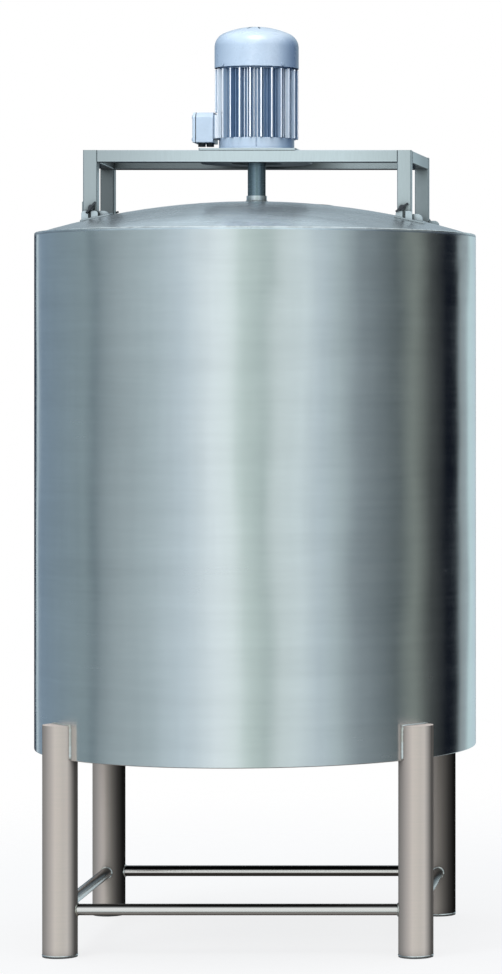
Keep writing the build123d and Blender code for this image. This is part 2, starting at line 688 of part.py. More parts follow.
def fan_cowl():
    """Straight sides, a round shoulder and a shallow crown, with air slots in the crown."""
    def bullet(inset):
        side = COWL_RADIUS - inset
        shoulder = COWL_ROUNDING - inset
        crown = COWL_CROWN_RADIUS - inset
        crown_z = COWL_TOP - COWL_CROWN_RADIUS
        meet = atan2(COWL_SHOULDER - crown_z, COWL_FLAT)

        def on_shoulder(angle):
            return (COWL_FLAT + shoulder * cos(angle), COWL_SHOULDER + shoulder * sin(angle))

        def on_crown(angle):
            return (crown * cos(angle), crown_z + crown * sin(angle))

        top = (0, crown_z + crown)
        outline = Line((0, COWL_BOTTOM), (side, COWL_BOTTOM))
        outline += Line((side, COWL_BOTTOM), (side, COWL_SHOULDER))
        outline += ThreePointArc((side, COWL_SHOULDER), on_shoulder(meet / 2), on_shoulder(meet))
        outline += ThreePointArc(on_shoulder(meet), on_crown((meet + pi / 2) / 2), top)
        outline += Line(top, (0, COWL_BOTTOM))
        return revolve(Plane.XZ * make_face(outline), Axis.Z)

    cowl = bullet(0) - bullet(COWL_WALL)
    for place in polar_places(AIR_SLOTS, AIR_SLOT_RADIUS, 15):
        cowl -= place * Pos(0, 0, COWL_TOP) * Box(AIR_SLOT_LENGTH, AIR_SLOT_WIDTH, COWL_RISE)
    hole = Rot(0, 90, 0) * Cylinder(COWL_SCREW_RADIUS, COWL_SCREW_LENGTH)
    for place in polar_places(COWL_SCREWS, COWL_RADIUS, 45):
        cowl -= place * Pos(0, 0, COWL_SCREW_Z) * hole
    return cowl


def cooling_fan():
    fan = upright(FAN_HUB_RADIUS, FAN_BOTTOM, FAN_TOP)
    fan += upright(FAN_RADIUS, FAN_BOTTOM, FAN_BOTTOM + FAN_DISC_THICKNESS)
    root = FAN_HUB_RADIUS - 1
    blade = Box(FAN_RADIUS - root, FAN_BLADE_THICKNESS, FAN_HEIGHT)
    for place in polar_places(FAN_BLADES, (FAN_RADIUS + root) / 2):
        fan += place * Pos(0, 0, FAN_BOTTOM + FAN_HEIGHT / 2) * blade
    return fan - upright(MOTOR_SHAFT_RADIUS, FAN_BOTTOM - 1, FAN_TOP + 1)


def motor_bearings():
    bore = MOTOR_SHAFT_RADIUS + RUNNING_CLEARANCE
    return [
        tube(LOWER_BEARING_RADIUS, bore, BEARING_BOTTOM, BEARING_BOTTOM + BEARING_WIDTH),
        tube(UPPER_BEARING_RADIUS, bore, HOUSING_TOP, HOUSING_TOP + BEARING_WIDTH),
    ]


def stator_windings():
    rings = []
    for low, high in ((CORE_BOTTOM - WINDING_BELOW, CORE_BOTTOM), (CORE_TOP, CORE_TOP + WINDING_ABOVE)):
        ring = tube(WINDING_OUTER, WINDING_INNER, low, high)
        rings.append(fillet(ring.edges().filter_by(GeomType.CIRCLE), WINDING_ROUNDING))
    return rings


def flange_bolts():
    head_bottom = BRIDGE_TOP - BOLT_HEAD_HEIGHT
    head = Pos(0, 0, head_bottom) * extrude(RegularPolygon(BOLT_HEAD_RADIUS, 6), BOLT_HEAD_HEIGHT)
    bolt = head + upright(BOLT_RADIUS, BRIDGE_TOP - 1, MOTOR_BASE + BOLT_REACH)
    return [place * bolt for place in polar_places(4, BOLT_CIRCLE, 45)]


def cover_screws():
    """The cowl's screws and the terminal lid's screws."""
    head = Pos(SCREW_HEAD_HEIGHT / 2, 0, 0) * Rot(0, 90, 0) * Cylinder(COWL_SCREW_HEAD, SCREW_HEAD_HEIGHT)
    shank = Pos(-COWL_SCREW_LENGTH / 2, 0, 0) * Rot(0, 90, 0) * Cylinder(COWL_SCREW_RADIUS, COWL_SCREW_LENGTH)
    screws = []
    for place in polar_places(COWL_SCREWS, COWL_RADIUS, 45):
        screws.append(place * Pos(0, 0, COWL_SCREW_Z) * (head + shank))
    face = BOX_OUT - BOX_SEAL - BOX_LID
    for y, z in box_screw_places():
        screw = along_x(BOX_SCREW_HEAD, face - SCREW_HEAD_HEIGHT, face, y, z)
        screws.append(screw + along_x(BOX_SCREW_RADIUS, face - 0.5, BOX_OUT + BOX_SCREW_DEPTH - 1, y, z))
    return screws


# ---------------------------------------------------------------- terminal box
def box_screw_places():
    """(y, z) of the lid's four screws: the lower pair in the corners, the upper pair by the chamfers."""
    low_y = BOX_DEPTH / 2 - 8
    high_y = BOX_DEPTH / 2 - 10
    low_z = BOX_BOTTOM + 8
    high_z = BOX_TOP - 12
    return [(-low_y, low_z), (low_y, low_z), (-high_y, high_z), (high_y, high_z)]


def box_profile(low_x, high_x, inset=0.0):
    """The box's outline, with its upper front and rear edges cut off, as a slab along X."""
    half = BOX_DEPTH / 2
    slab = block((low_x, -half + inset, BOX_BOTTOM + inset), (high_x, half - inset, BOX_TOP - inset))
    top_edges = slab.edges().filter_by(Axis.X).sort_by(Axis.Z)[-2:]
    slab = chamfer(top_edges, BOX_CHAMFER)
    return fillet(slab.edges().filter_by(Axis.X), BOX_CORNER)


def terminal_box():
    box = box_profile(BOX_OUT, BOX_IN) - box_profile(BOX_OUT - 1, BOX_IN - BOX_WALL, BOX_WALL)
    for y, z in box_screw_places():
        boss = along_x(BOX_BOSS, BOX_OUT, BOX_IN - 1, y, z)
        box += boss & box_profile(BOX_OUT, BOX_IN)
        box -= along_x(BOX_SCREW_RADIUS, BOX_OUT - 1, BOX_OUT + BOX_SCREW_DEPTH, y, z)
    box -= along_y(GLAND_THREAD, BOX_DEPTH / 2 - 6, BOX_DEPTH / 2 + 1, GLAND_X, GLAND_Z)
    for x in ENTRY_X:
        box -= upright(PLUG_STEM, BOX_BOTTOM - 1, BOX_BOTTOM + 5, x, ENTRY_Y)
    return box


def terminal_seal():
    low = BOX_OUT - BOX_SEAL
    seal = box_profile(low, BOX_OUT) - box_profile(low - 1, BOX_OUT + 1, BOX_WALL)
    for y, z in box_screw_places():
        seal += along_x(BOX_BOSS, low, BOX_OUT, y, z) & box_profile(low, BOX_OUT)
        seal -= along_x(BOX_SCREW_RADIUS, low - 1, BOX_OUT + 1, y, z)
    return seal


def terminal_lid():
    high = BOX_OUT - BOX_SEAL
    low = high - BOX_LID
    lid = box_profile(low, high)
    outer = lid.faces().sort_by(Axis.X)[0]
    lid = fillet(outer.edges(), 2)
    for y, z in box_screw_places():
        lid -= along_x(BOX_SCREW_RADIUS, low - 1, high + 1, y, z)
    return lid - along_x(PLUG_STEM, low - 1, high + 1, 0, LID_PLUG_Z)


def terminal_board():
    wall = BOX_IN - BOX_WALL
    front = wall - BOARD_THICKNESS
    board = block((front, -BOARD_HALF_WIDTH, BOARD_BOTTOM), (wall, BOARD_HALF_WIDTH, BOARD_TOP))
    for y in STUD_Y:
        for z in STUD_Z:
            board += along_x(STUD_RADIUS, front - STUD_LENGTH, front + 1, y, z)
    return board


def cable_gland():
    """Hexagon body and tapered nut on the box's rear face, with a hole for the supply cable."""
    face = BOX_DEPTH / 2
    nut_start = face + GLAND_HEX_LENGTH
    along = (Align.CENTER, Align.CENTER, Align.MIN)
    body = Rot(90, 0, 0) * extrude(RegularPolygon(GLAND_HEX, 6), GLAND_HEX_LENGTH)
    nut = Rot(-90, 0, 0) * Cone(GLAND_NUT_BASE, GLAND_NUT_TIP, GLAND_NUT_LENGTH, align=along)
    gland = Pos(GLAND_X, nut_start, GLAND_Z) * (body + nut)
    gland += along_y(GLAND_THREAD, face - 6, face + 1, GLAND_X, GLAND_Z)
    return gland - along_y(GLAND_BORE, face - 8, nut_start + GLAND_NUT_LENGTH + 5, GLAND_X, GLAND_Z)


def blanking_plugs():
    """Round plug in the lid, and the two plugs under the box."""
    face = BOX_OUT - BOX_SEAL - BOX_LID
    lid_plug = along_x(LID_PLUG_RADIUS, face - LID_PLUG_HEIGHT, face, 0, LID_PLUG_Z)
    plugs = [lid_plug + along_x(PLUG_STEM, face - 1, BOX_OUT, 0, LID_PLUG_Z)]
    for x in ENTRY_X:
        flange = upright(ENTRY_PLUG_RADIUS, BOX_BOTTOM - ENTRY_PLUG_HEIGHT, BOX_BOTTOM, x, ENTRY_Y)
        plugs.append(flange + upright(PLUG_STEM, BOX_BOTTOM - 1, BOX_BOTTOM + 5, x, ENTRY_Y))
    return plugs


# ---------------------------------------------------------------- manway
def manway_neck():
    neck = tube(MANWAY_RADIUS, MANWAY_RADIUS - MANWAY_WALL, SHELL_TOP - 60, MANWAY_TOP, y=MANWAY_Y)
    return neck - dome_ball(-DOME_WALL)


def hinge_lugs():
    """Two plates welded to the neck that hold the hinge pin."""
    lugs = []
    wall = MANWAY_WALL - MANWAY_RADIUS
    bottom = HINGE_Z - HINGE_LUG_DEPTH
    for side in (-1, 1):
        near = MANWAY_Y + side * HINGE_LUG_GAP / 2
        far = near + side * HINGE_LUG_THICKNESS
        low_y, high_y = min(near, far), max(near, far)
        plate = block((HINGE_X, low_y, bottom), (wall, high_y, HINGE_Z - HINGE_KNUCKLE))
        plate += along_y(HINGE_KNUCKLE, low_y, high_y, HINGE_X, HINGE_Z)
        plate += block((HINGE_X - HINGE_KNUCKLE, low_y, bottom), (HINGE_X + HINGE_KNUCKLE, high_y, HINGE_Z))
        plate -= upright(MANWAY_RADIUS, SHELL_TOP, DOME_TOP + 20, y=MANWAY_Y)
        lugs.append(plate - along_y(HINGE_PIN_RADIUS, low_y - 1, high_y + 1, HINGE_X, HINGE_Z))
    return lugs


def hinge_pin():
    reach = HINGE_LUG_GAP / 2 + HINGE_LUG_THICKNESS
    low, high = MANWAY_Y - reach, MANWAY_Y + reach
    pin = along_y(HINGE_PIN_RADIUS, low - HINGE_PIN_END, high + HINGE_PIN_END, HINGE_X, HINGE_Z)
    return pin + along_y(HINGE_PIN_HEAD, low - HINGE_PIN_END - 1, low, HINGE_X, HINGE_Z)


def manway_lid():
    """Sheet lid: a shallow crown inside a flat rim, a turned-down skirt and the hinge knuckle."""
    under = MANWAY_TOP + MANWAY_SEAL
    over = under + LID_SHEET
    inner = LID_RADIUS - LID_SHEET
    crown_radius = (LID_FLAT**2 + LID_CROWN**2) / (2 * LID_CROWN)

    def crown(face_z):
        """Arc from the lid's middle to its flat rim."""
        sphere_z = face_z + LID_CROWN - crown_radius
        halfway = (LID_FLAT / 2, sphere_z + sqrt(crown_radius**2 - LID_FLAT**2 / 4))
        return ThreePointArc((0, face_z + LID_CROWN), halfway, (LID_FLAT, face_z))

    outline = Line((0, under + LID_CROWN), (0, over + LID_CROWN)) + crown(over)
    rim = [(LID_FLAT, over), (LID_RADIUS, over), (LID_RADIUS, LID_SKIRT_BOTTOM)]
    rim += [(inner, LID_SKIRT_BOTTOM), (inner, under), (LID_FLAT, under)]
    outline += Polyline(*rim)
    outline += crown(under)
    lid = Pos(0, MANWAY_Y, 0) * revolve(Plane.XZ * make_face(outline), Axis.Z)
    half = HINGE_LUG_GAP / 2 - 1
    low_y, high_y = MANWAY_Y - half, MANWAY_Y + half
    tab_bottom = HINGE_Z + LID_SHEET + 1 - HINGE_TAB_THICKNESS
    tab = block((HINGE_X, low_y, tab_bottom), (5 - LID_RADIUS, high_y, tab_bottom + HINGE_TAB_THICKNESS))
    tab -= upright(LID_RADIUS - 1, SHELL_TOP, DOME_TOP + 20, y=MANWAY_Y)
    tab += along_y(HINGE_KNUCKLE, low_y, high_y, HINGE_X, HINGE_Z)
    bore = HINGE_PIN_RADIUS + RUNNING_CLEARANCE
    return lid + tab - along_y(bore, low_y - 1, high_y + 1, HINGE_X, HINGE_Z)


def manway_gasket():
    return tube(MANWAY_RADIUS + 1.5, MANWAY_RADIUS - 6, MANWAY_TOP, MANWAY_TOP + MANWAY_SEAL, y=MANWAY_Y)


def lid_handle():
    """A bent round bar welded to the skirt, a little round from the lid's free edge."""
    start = LID_RADIUS - 25
    end = LID_RADIUS + HANDLE_REACH
    half = HANDLE_HALF_WIDTH
    path = FilletPolyline((start, -half), (end, -half), (end, half), (start, half), radius=HANDLE_CORNER)
    section = Plane(origin=(start, -half, 0), z_dir=(1, 0, 0)) * Circle(HANDLE_BAR_RADIUS)
    bar = sweep(section, path=path)
    bar = Pos(0, MANWAY_Y, LID_SKIRT_BOTTOM) * Rot(0, 0, HANDLE_TURN) * bar
    return bar - upright(LID_RADIUS, SHELL_TOP, DOME_TOP + 20, y=MANWAY_Y)


# ---------------------------------------------------------------- outlet
def outlet_pipe():
    corner_y = OUTLET_Y + ELBOW_RADIUS
    corner_z = OUTLET_Z + ELBOW_RADIUS
    valve_start = VALVE_Y - VALVE_LENGTH / 2

    def run(radius):
        drop = upright(radius, corner_z, FLOOR_MIDDLE + 20, y=OUTLET_Y)
        ring = Pos(0, corner_y, corner_z) * Rot(0, 90, 0) * Torus(ELBOW_RADIUS, radius)
        low = (-100, corner_y - 200, corner_z - 200)
        quarter = ring & block(low, (100, corner_y, corner_z))
        return drop + quarter + along_y(radius, corner_y, valve_start, 0, OUTLET_Z)

    pipe = run(PIPE_RADIUS) - run(PIPE_BORE)
    above_floor = upright(80, SHELL_BOTTOM, FLOOR_MIDDLE + 200, y=OUTLET_Y) - below_floor(0)
    return pipe - above_floor


def valve_body():
    start = VALVE_Y - VALVE_LENGTH / 2
    end = VALVE_Y + VALVE_LENGTH / 2
    body = along_y(VALVE_RADIUS, start + VALVE_SHOULDER, end - VALVE_SHOULDER, 0, OUTLET_Z)
    body = fillet(body.edges().filter_by(GeomType.CIRCLE), VALVE_ROUNDING)
    body += along_y(FERRULE_RADIUS, start, end, 0, OUTLET_Z)
    body += along_x(STEM_BOSS_RADIUS, 0, STEM_BOSS_END, VALVE_Y, OUTLET_Z)
    body += along_x(BLIND_BOSS_RADIUS, -BLIND_BOSS_END, 0, VALVE_Y, OUTLET_Z)
    body -= along_y(PIPE_BORE, start - 1, end + 1, 0, OUTLET_Z)
    seat_low, seat_high = VALVE_Y - SEAT_HALF_LENGTH, VALVE_Y + SEAT_HALF_LENGTH
    body -= along_y(PIPE_BORE + SEAT_THICKNESS, seat_low, seat_high, 0, OUTLET_Z)
    stem_bore = STEM_RADIUS + RUNNING_CLEARANCE
    return body - along_x(stem_bore, STEM_START - 2, STEM_END, VALVE_Y, OUTLET_Z)


def valve_seat():
    low, high = VALVE_Y - SEAT_HALF_LENGTH, VALVE_Y + SEAT_HALF_LENGTH
    seat = along_y(PIPE_BORE + SEAT_THICKNESS, low, high, 0, OUTLET_Z)
    seat -= along_y(DISC_RADIUS + RUNNING_CLEARANCE, low - 1, high + 1, 0, OUTLET_Z)
    return seat - along_x(STEM_RADIUS + RUNNING_CLEARANCE, STEM_START - 8, STEM_END, VALVE_Y, OUTLET_Z)


def outlet_spout():
    start = VALVE_Y + VALVE_LENGTH / 2
    spout = along_y(PIPE_RADIUS, start, SPOUT_END, 0, OUTLET_Z)
    spout += along_y(FERRULE_RADIUS, start, start + FERRULE_THICKNESS, 0, OUTLET_Z)
    return spout - along_y(PIPE_BORE, start - 1, SPOUT_END + 1, 0, OUTLET_Z)


def valve_disc():
    """Open at rest: the disc lies along the pipe."""
    centre = Pos(0, VALVE_Y, OUTLET_Z)
    disc = centre * (Cylinder(DISC_RADIUS, DISC_THICKNESS) & Sphere(DISC_RADIUS))
    return disc + along_x(STEM_RADIUS, STEM_START, STEM_END, VALVE_Y, OUTLET_Z)


def valve_handle():
    """Lever on the stem, pointing rearwards while the valve is open."""
    half = LEVER_WIDTH / 2
    end = VALVE_Y + LEVER_LENGTH - half
    hub = along_x(STEM_BOSS_RADIUS, LEVER_HUB_START, STEM_END, VALVE_Y, OUTLET_Z)
    lever = block((LEVER_NEAR, VALVE_Y, OUTLET_Z - half), (LEVER_FAR, end, OUTLET_Z + half))
    lever += along_x(half, LEVER_NEAR, LEVER_FAR, end, OUTLET_Z)
    return hub + lever - along_x(STEM_RADIUS, LEVER_HUB_START - 1, STEM_END + 1, VALVE_Y, OUTLET_Z)


# ---------------------------------------------------------------- write every sub-part
save("outer_shell", outer_shell())
save("bottom_cover", bottom_cover())
save("dome_cover", dome_cover())
save("inner_vessel", inner_vessel())
save("insulation", insulation())

for corner, sides in CORNERS.items():
    save(f"leg_{corner}", leg(*sides))
    post = bridge_post(*sides)
    if corner == "front_left":
        post += earthing_pad()
    save(f"bridge_post_{corner}", post)
    save(f"wing_screw_{corner}", wing_screw(*sides, WING_ANGLE[corner]))
save("leg_caps", [leg_cap(*sides) for sides in CORNERS.values()])
save("foot_plugs", [foot_plug(*sides) for sides in CORNERS.values()])
save("post_brackets", [post_bracket(*sides) for sides in CORNERS.values()])
save("stretchers_front_rear", stretchers_front_rear())
save("stretchers_left_right", stretchers_left_right())

save("beam_front", beam_along_x(-1))
save("beam_rear", beam_along_x(1))
save("end_beams", [end_beam(-1), end_beam(1)])
save("motor_plate", motor_plate())

save("shaft_neck", shaft_neck())
save("shaft_seal", shaft_seal())
save("agitator_shaft", agitator_shaft())
save("impeller", impeller())

save("drive_end_shield", drive_end_shield())
save("motor_housing", motor_housing())
save("fan_end_shield", fan_end_shield())
save("fan_cowl", fan_cowl())
save("cooling_fan", cooling_fan())
save("motor_bearings", motor_bearings())
save("stator_core", tube(HOUSING_BORE, ROTOR_RADIUS + AIR_GAP, CORE_BOTTOM, CORE_TOP))
save("stator_windings", stator_windings())
save("rotor_core", tube(ROTOR_RADIUS, MOTOR_SHAFT_RADIUS, CORE_BOTTOM, CORE_TOP))
save("motor_shaft", upright(MOTOR_SHAFT_RADIUS, MOTOR_BASE - MOTOR_SHAFT_REACH, FAN_TOP + 3))
save("flange_bolts", flange_bolts())
save("cover_screws", cover_screws())

save("terminal_box", terminal_box())
save("terminal_seal", terminal_seal())
save("terminal_lid", terminal_lid())
save("terminal_board", terminal_board())
save("cable_gland", cable_gland())
save("blanking_plugs", blanking_plugs())

save("manway_neck", manway_neck())
save("hinge_lugs", hinge_lugs())
save("hinge_pin", hinge_pin())
save("manway_lid", manway_lid())
save("manway_gasket", manway_gasket())
save("lid_handle", lid_handle())

save("outlet_pipe", outlet_pipe())
save("valve_body", valve_body())
save("valve_seat", valve_seat())
save("outlet_spout", outlet_spout())
save("valve_disc", valve_disc())
save("valve_handle", valve_handle())
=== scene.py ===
"""Looks of an insulated stainless steel milk tank with its agitator motor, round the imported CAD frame."""

import json
import math

import bmesh
import bpy
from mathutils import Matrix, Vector


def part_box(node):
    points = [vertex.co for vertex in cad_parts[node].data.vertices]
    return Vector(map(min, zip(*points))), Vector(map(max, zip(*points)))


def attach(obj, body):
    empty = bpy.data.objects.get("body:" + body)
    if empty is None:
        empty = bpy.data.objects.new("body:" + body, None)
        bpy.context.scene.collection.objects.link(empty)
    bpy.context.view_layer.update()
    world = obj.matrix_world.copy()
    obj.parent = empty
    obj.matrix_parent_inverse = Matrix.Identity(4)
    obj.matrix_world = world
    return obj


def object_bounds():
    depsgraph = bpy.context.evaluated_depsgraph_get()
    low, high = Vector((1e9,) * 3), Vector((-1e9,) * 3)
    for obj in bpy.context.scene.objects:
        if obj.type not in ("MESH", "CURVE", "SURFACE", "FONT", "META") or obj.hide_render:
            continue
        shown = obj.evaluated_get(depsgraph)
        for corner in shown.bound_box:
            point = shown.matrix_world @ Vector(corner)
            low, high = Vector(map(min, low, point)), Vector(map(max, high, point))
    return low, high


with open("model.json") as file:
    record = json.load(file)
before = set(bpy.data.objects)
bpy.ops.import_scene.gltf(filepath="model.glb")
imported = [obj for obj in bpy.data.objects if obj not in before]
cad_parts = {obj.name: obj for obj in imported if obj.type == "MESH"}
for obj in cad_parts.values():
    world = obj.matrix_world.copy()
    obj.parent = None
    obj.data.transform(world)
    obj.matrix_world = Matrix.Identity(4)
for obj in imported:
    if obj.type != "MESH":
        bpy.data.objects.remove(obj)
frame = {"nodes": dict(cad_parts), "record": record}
CAD_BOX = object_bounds()
NODES = frame["nodes"]
SLOT_OF_NODE = {part["node"]: part["material_slot"] for part in frame["record"]["subparts"]}

# Camera: it stands well to the right of the tank and its lens is shifted back onto it
CAMERA_PLACE = (1.220, -9.258, 1.420)
CAMERA_LENS = 136.0
SENSOR_SIZE = 36.0
LENS_SHIFT = {"shift_x": -0.5037, "shift_y": -0.120}
SHIFT_REACH = 0.001

# Panels of the studio that the steel reflects: azimuth from the front in degrees, towards +X, and linear colour
STUDIO_PANELS = (
    (-180, (0.0, 0.01, 0.03)),
    (-153, (0.0, 0.01, 0.03)),
    (-151.5, (0.60, 0.72, 0.78)),
    (-148.5, (0.56, 0.68, 0.74)),
    (-145, (0.24, 0.32, 0.40)),
    (-138, (0.21, 0.29, 0.37)),
    (-110, (0.24, 0.32, 0.37)),
    (-92, (0.26, 0.34, 0.37)),
    (-85, (0.18, 0.24, 0.27)),
    (-79, (0.27, 0.34, 0.37)),
    (-67, (0.36, 0.44, 0.47)),
    (-49, (0.45, 0.55, 0.59)),
    (-30, (0.64, 0.76, 0.83)),
    (-14, (0.87, 0.98, 1.02)),
    (-5, (0.86, 0.98, 0.99)),
    (0, (0.64, 0.77, 0.75)),
    (12, (0.48, 0.59, 0.58)),
    (19, (0.69, 0.80, 0.81)),
    (30, (0.72, 0.84, 0.87)),
    (40, (0.56, 0.67, 0.73)),
    (50, (0.46, 0.56, 0.59)),
    (61, (0.26, 0.32, 0.35)),
    (86, (0.11, 0.14, 0.15)),
    (97, (0.24, 0.28, 0.26)),
    (110, (0.07, 0.08, 0.08)),
    (125, (0.002, 0.004, 0.010)),
    (136, (0.002, 0.004, 0.010)),
    (141, (0.30, 0.36, 0.38)),
    (150, (0.36, 0.43, 0.46)),
    (156, (0.58, 0.76, 0.79)),
    (172, (0.50, 0.62, 0.68)),
)
SKY_OVER_STEEL = (0.80, 0.91, 0.96)      # what level steel reflects, past these heights of direction
SKY_FROM, SKY_TO = 0.30, 0.85
FLOOR_GLOW = (0.17, 0.16, 0.15)
BACK_GLOW = (0.42, 0.52, 0.58)           # what the dome reflects, straight behind the tank
FRONT_LIGHT = (0.22, 0.34, 0.50)         # light on everything that isn't mirror-like, by direction
SIDE_LIGHT = (0.02, 0.09, 0.25)
TOP_LIGHT = (1.05, 1.08, 1.12)
FRONT_TURN = 1.0                         # radians that the front light comes from the left
BACKDROP_WHITE = (1.0, 1.0, 1.0)

FLOOR_RADIUS = 3.6
FLOOR_FADE_FROM = 1.1
FLOOR_LIT = 0.81            # share of the floor that glows, so that shadows stay light

# Places on the tank
SHELL_RADIUS = 0.550
SHELL_TOP = 1.758
SHELL_BOTTOM = 0.479
DOME_RISE = 0.085
LEG_RADIUS = 0.0425
STRETCHER_RADIUS = 0.014
HOUSING_RADIUS = 0.085
RIB_RADIUS = 0.093
FIN_RADIUS = 0.1045
LANTERN_REACH = 0.20


# ---------------------------------------------------------------- node trees

class Tree:
    """A material's or the world's node tree, built one node at a time."""

    def __init__(self, owner):
        owner.use_nodes = True
        self.nodes = owner.node_tree.nodes
        self.links = owner.node_tree.links
        self.nodes.clear()

    def add(self, kind, inputs=None, **settings):
        node = self.nodes.new("ShaderNode" + kind)
        for name, value in settings.items():
            setattr(node, name, value)
        for key, value in (inputs or {}).items():
            self.feed(node.inputs[key], value)
        return node

    def feed(self, socket, value):
        if isinstance(value, bpy.types.NodeSocket):
            self.links.new(value, socket)
        elif socket.type == "RGBA" and len(value) == 3:
            socket.default_value = (*value, 1.0)
        else:
            socket.default_value = value

    def math(self, operation, first, second=0.0, clamp=False):
        return self.add("Math", {0: first, 1: second}, operation=operation, use_clamp=clamp).outputs[0]

    def remap(self, value, low, high, to_low=0.0, to_high=1.0, smooth=False):
        kind = "SMOOTHSTEP" if smooth else "LINEAR"
        inputs = {"Value": value, "From Min": low, "From Max": high, "To Min": to_low, "To Max": to_high}
        return self.add("MapRange", inputs, interpolation_type=kind).outputs[0]

    def mix(self, share, first, second, blend="MIX"):
        node = self.add("Mix", data_type="RGBA", blend_type=blend)
        self.feed(node.inputs["Factor"], share)
        self.feed(node.inputs[6], first)
        self.feed(node.inputs[7], second)
        return node.outputs[2]

    def ramp(self, value, stops, interpolation="EASE"):
        node = self.add("ValToRGB", {"Fac": value})
        ramp = node.color_ramp
        ramp.interpolation = interpolation
        while len(ramp.elements) < len(stops):
            ramp.elements.new(1.0)
        for element, (place, color) in zip(ramp.elements, stops):
            element.position = place
            element.color = (*color, 1.0)
        return node.outputs["Color"]

    def noise(self, vector, scale, detail=3.0, roughness=0.5):
        inputs = {"Vector": vector, "Scale": scale, "Detail": detail, "Roughness": roughness}
        return self.add("TexNoise", inputs).outputs["Fac"]

    def place(self):
        return self.add("TexCoord").outputs["Object"]

    def split(self, vector):
        return self.add("SeparateXYZ", {0: vector}).outputs

    def join(self, x, y, z):
        return self.add("CombineXYZ", {0: x, 1: y, 2: z}).outputs[0]

    def bump(self, height, distance, strength=1.0, normal=None):
        inputs = {"Height": height, "Distance": distance, "Strength": strength}
        if normal is not None:
            inputs["Normal"] = normal
        return self.add("Bump", inputs).outputs["Normal"]

    def surface(self, shader):
        self.add("OutputMaterial", {"Surface": shader})


def new_material(name):
    material = bpy.data.materials.new(name)
    return material, Tree(material)


# ---------------------------------------------------------------- materials

def axis_lines(tree, scales):
    """Brush marks that run along the axis with the small scale."""
    place = tree.add("Mapping", {"Vector": tree.place(), "Scale": scales})
    return tree.noise(place.outputs[0], 1.0, detail=4.0, roughness=0.6)


def axis_distance(tree):
    """Distance from the tank's upright axis."""
    x, y, z = tree.split(tree.place())
    return tree.math("SQRT", tree.math("ADD", tree.math("MULTIPLY", x, x), tree.math("MULTIPLY", y, y)))


def ring_lines(tree, scale):
    """Brush marks that run in rings round the tank's axis."""
    x, y, z = tree.split(tree.place())
    place = tree.join(tree.math("MULTIPLY", axis_distance(tree), scale), x, y)
    return tree.noise(place, 1.0, detail=4.0, roughness=0.6)


def crevices(tree, reach, darkest, shut=0.25, open_sky=0.95):
    """Painted shade: 1 in the open, falling to darkest where something else is closer than reach."""
    near = tree.add("AmbientOcclusion", {"Distance": reach}, samples=6).outputs["AO"]
    return tree.remap(near, shut, open_sky, darkest, 1.0, smooth=True)


def seen_by_camera(tree, vector, kind):
    return tree.add("VectorTransform", {"Vector": vector}, vector_type=kind, convert_from="WORLD",
                    convert_to="CAMERA").outputs[0]


def far_side(tree, reach):
    """0 nearer to the camera than the tank's axis, 1 beyond it, blended over reach on either side."""
    here = tree.add("NewGeometry").outputs["Position"]
    depths = []
    for point in (here, (0.0, 0.0, 1.0)):
        depths.append(tree.math("ABSOLUTE", tree.split(seen_by_camera(tree, point, "POINT"))[2]))
    return tree.remap(tree.math("SUBTRACT", *depths), -reach, reach, smooth=True)


def weighed(tree, share, value):
    """1 where share is 0, and value where share is 1."""
    return tree.math("ADD", tree.math("MULTIPLY", share, tree.math("SUBTRACT", value, 1.0)), 1.0)


def turned_to_viewer(tree):
    """A normal halfway to the viewer, which takes in more of the room in front."""
    geometry = tree.add("NewGeometry").outputs
    both = tree.add("VectorMath", {0: geometry["Normal"], 1: geometry["Incoming"]}, operation="ADD").outputs[0]
    return tree.add("VectorMath", {0: both}, operation="NORMALIZE").outputs[0]


def dimmed(tree, tone, *shares):
    """tone times every one of the shares."""
    for share in shares:
        tone = tree.mix(1.0, tone, tree.join(share, share, share), "MULTIPLY")
    return tone


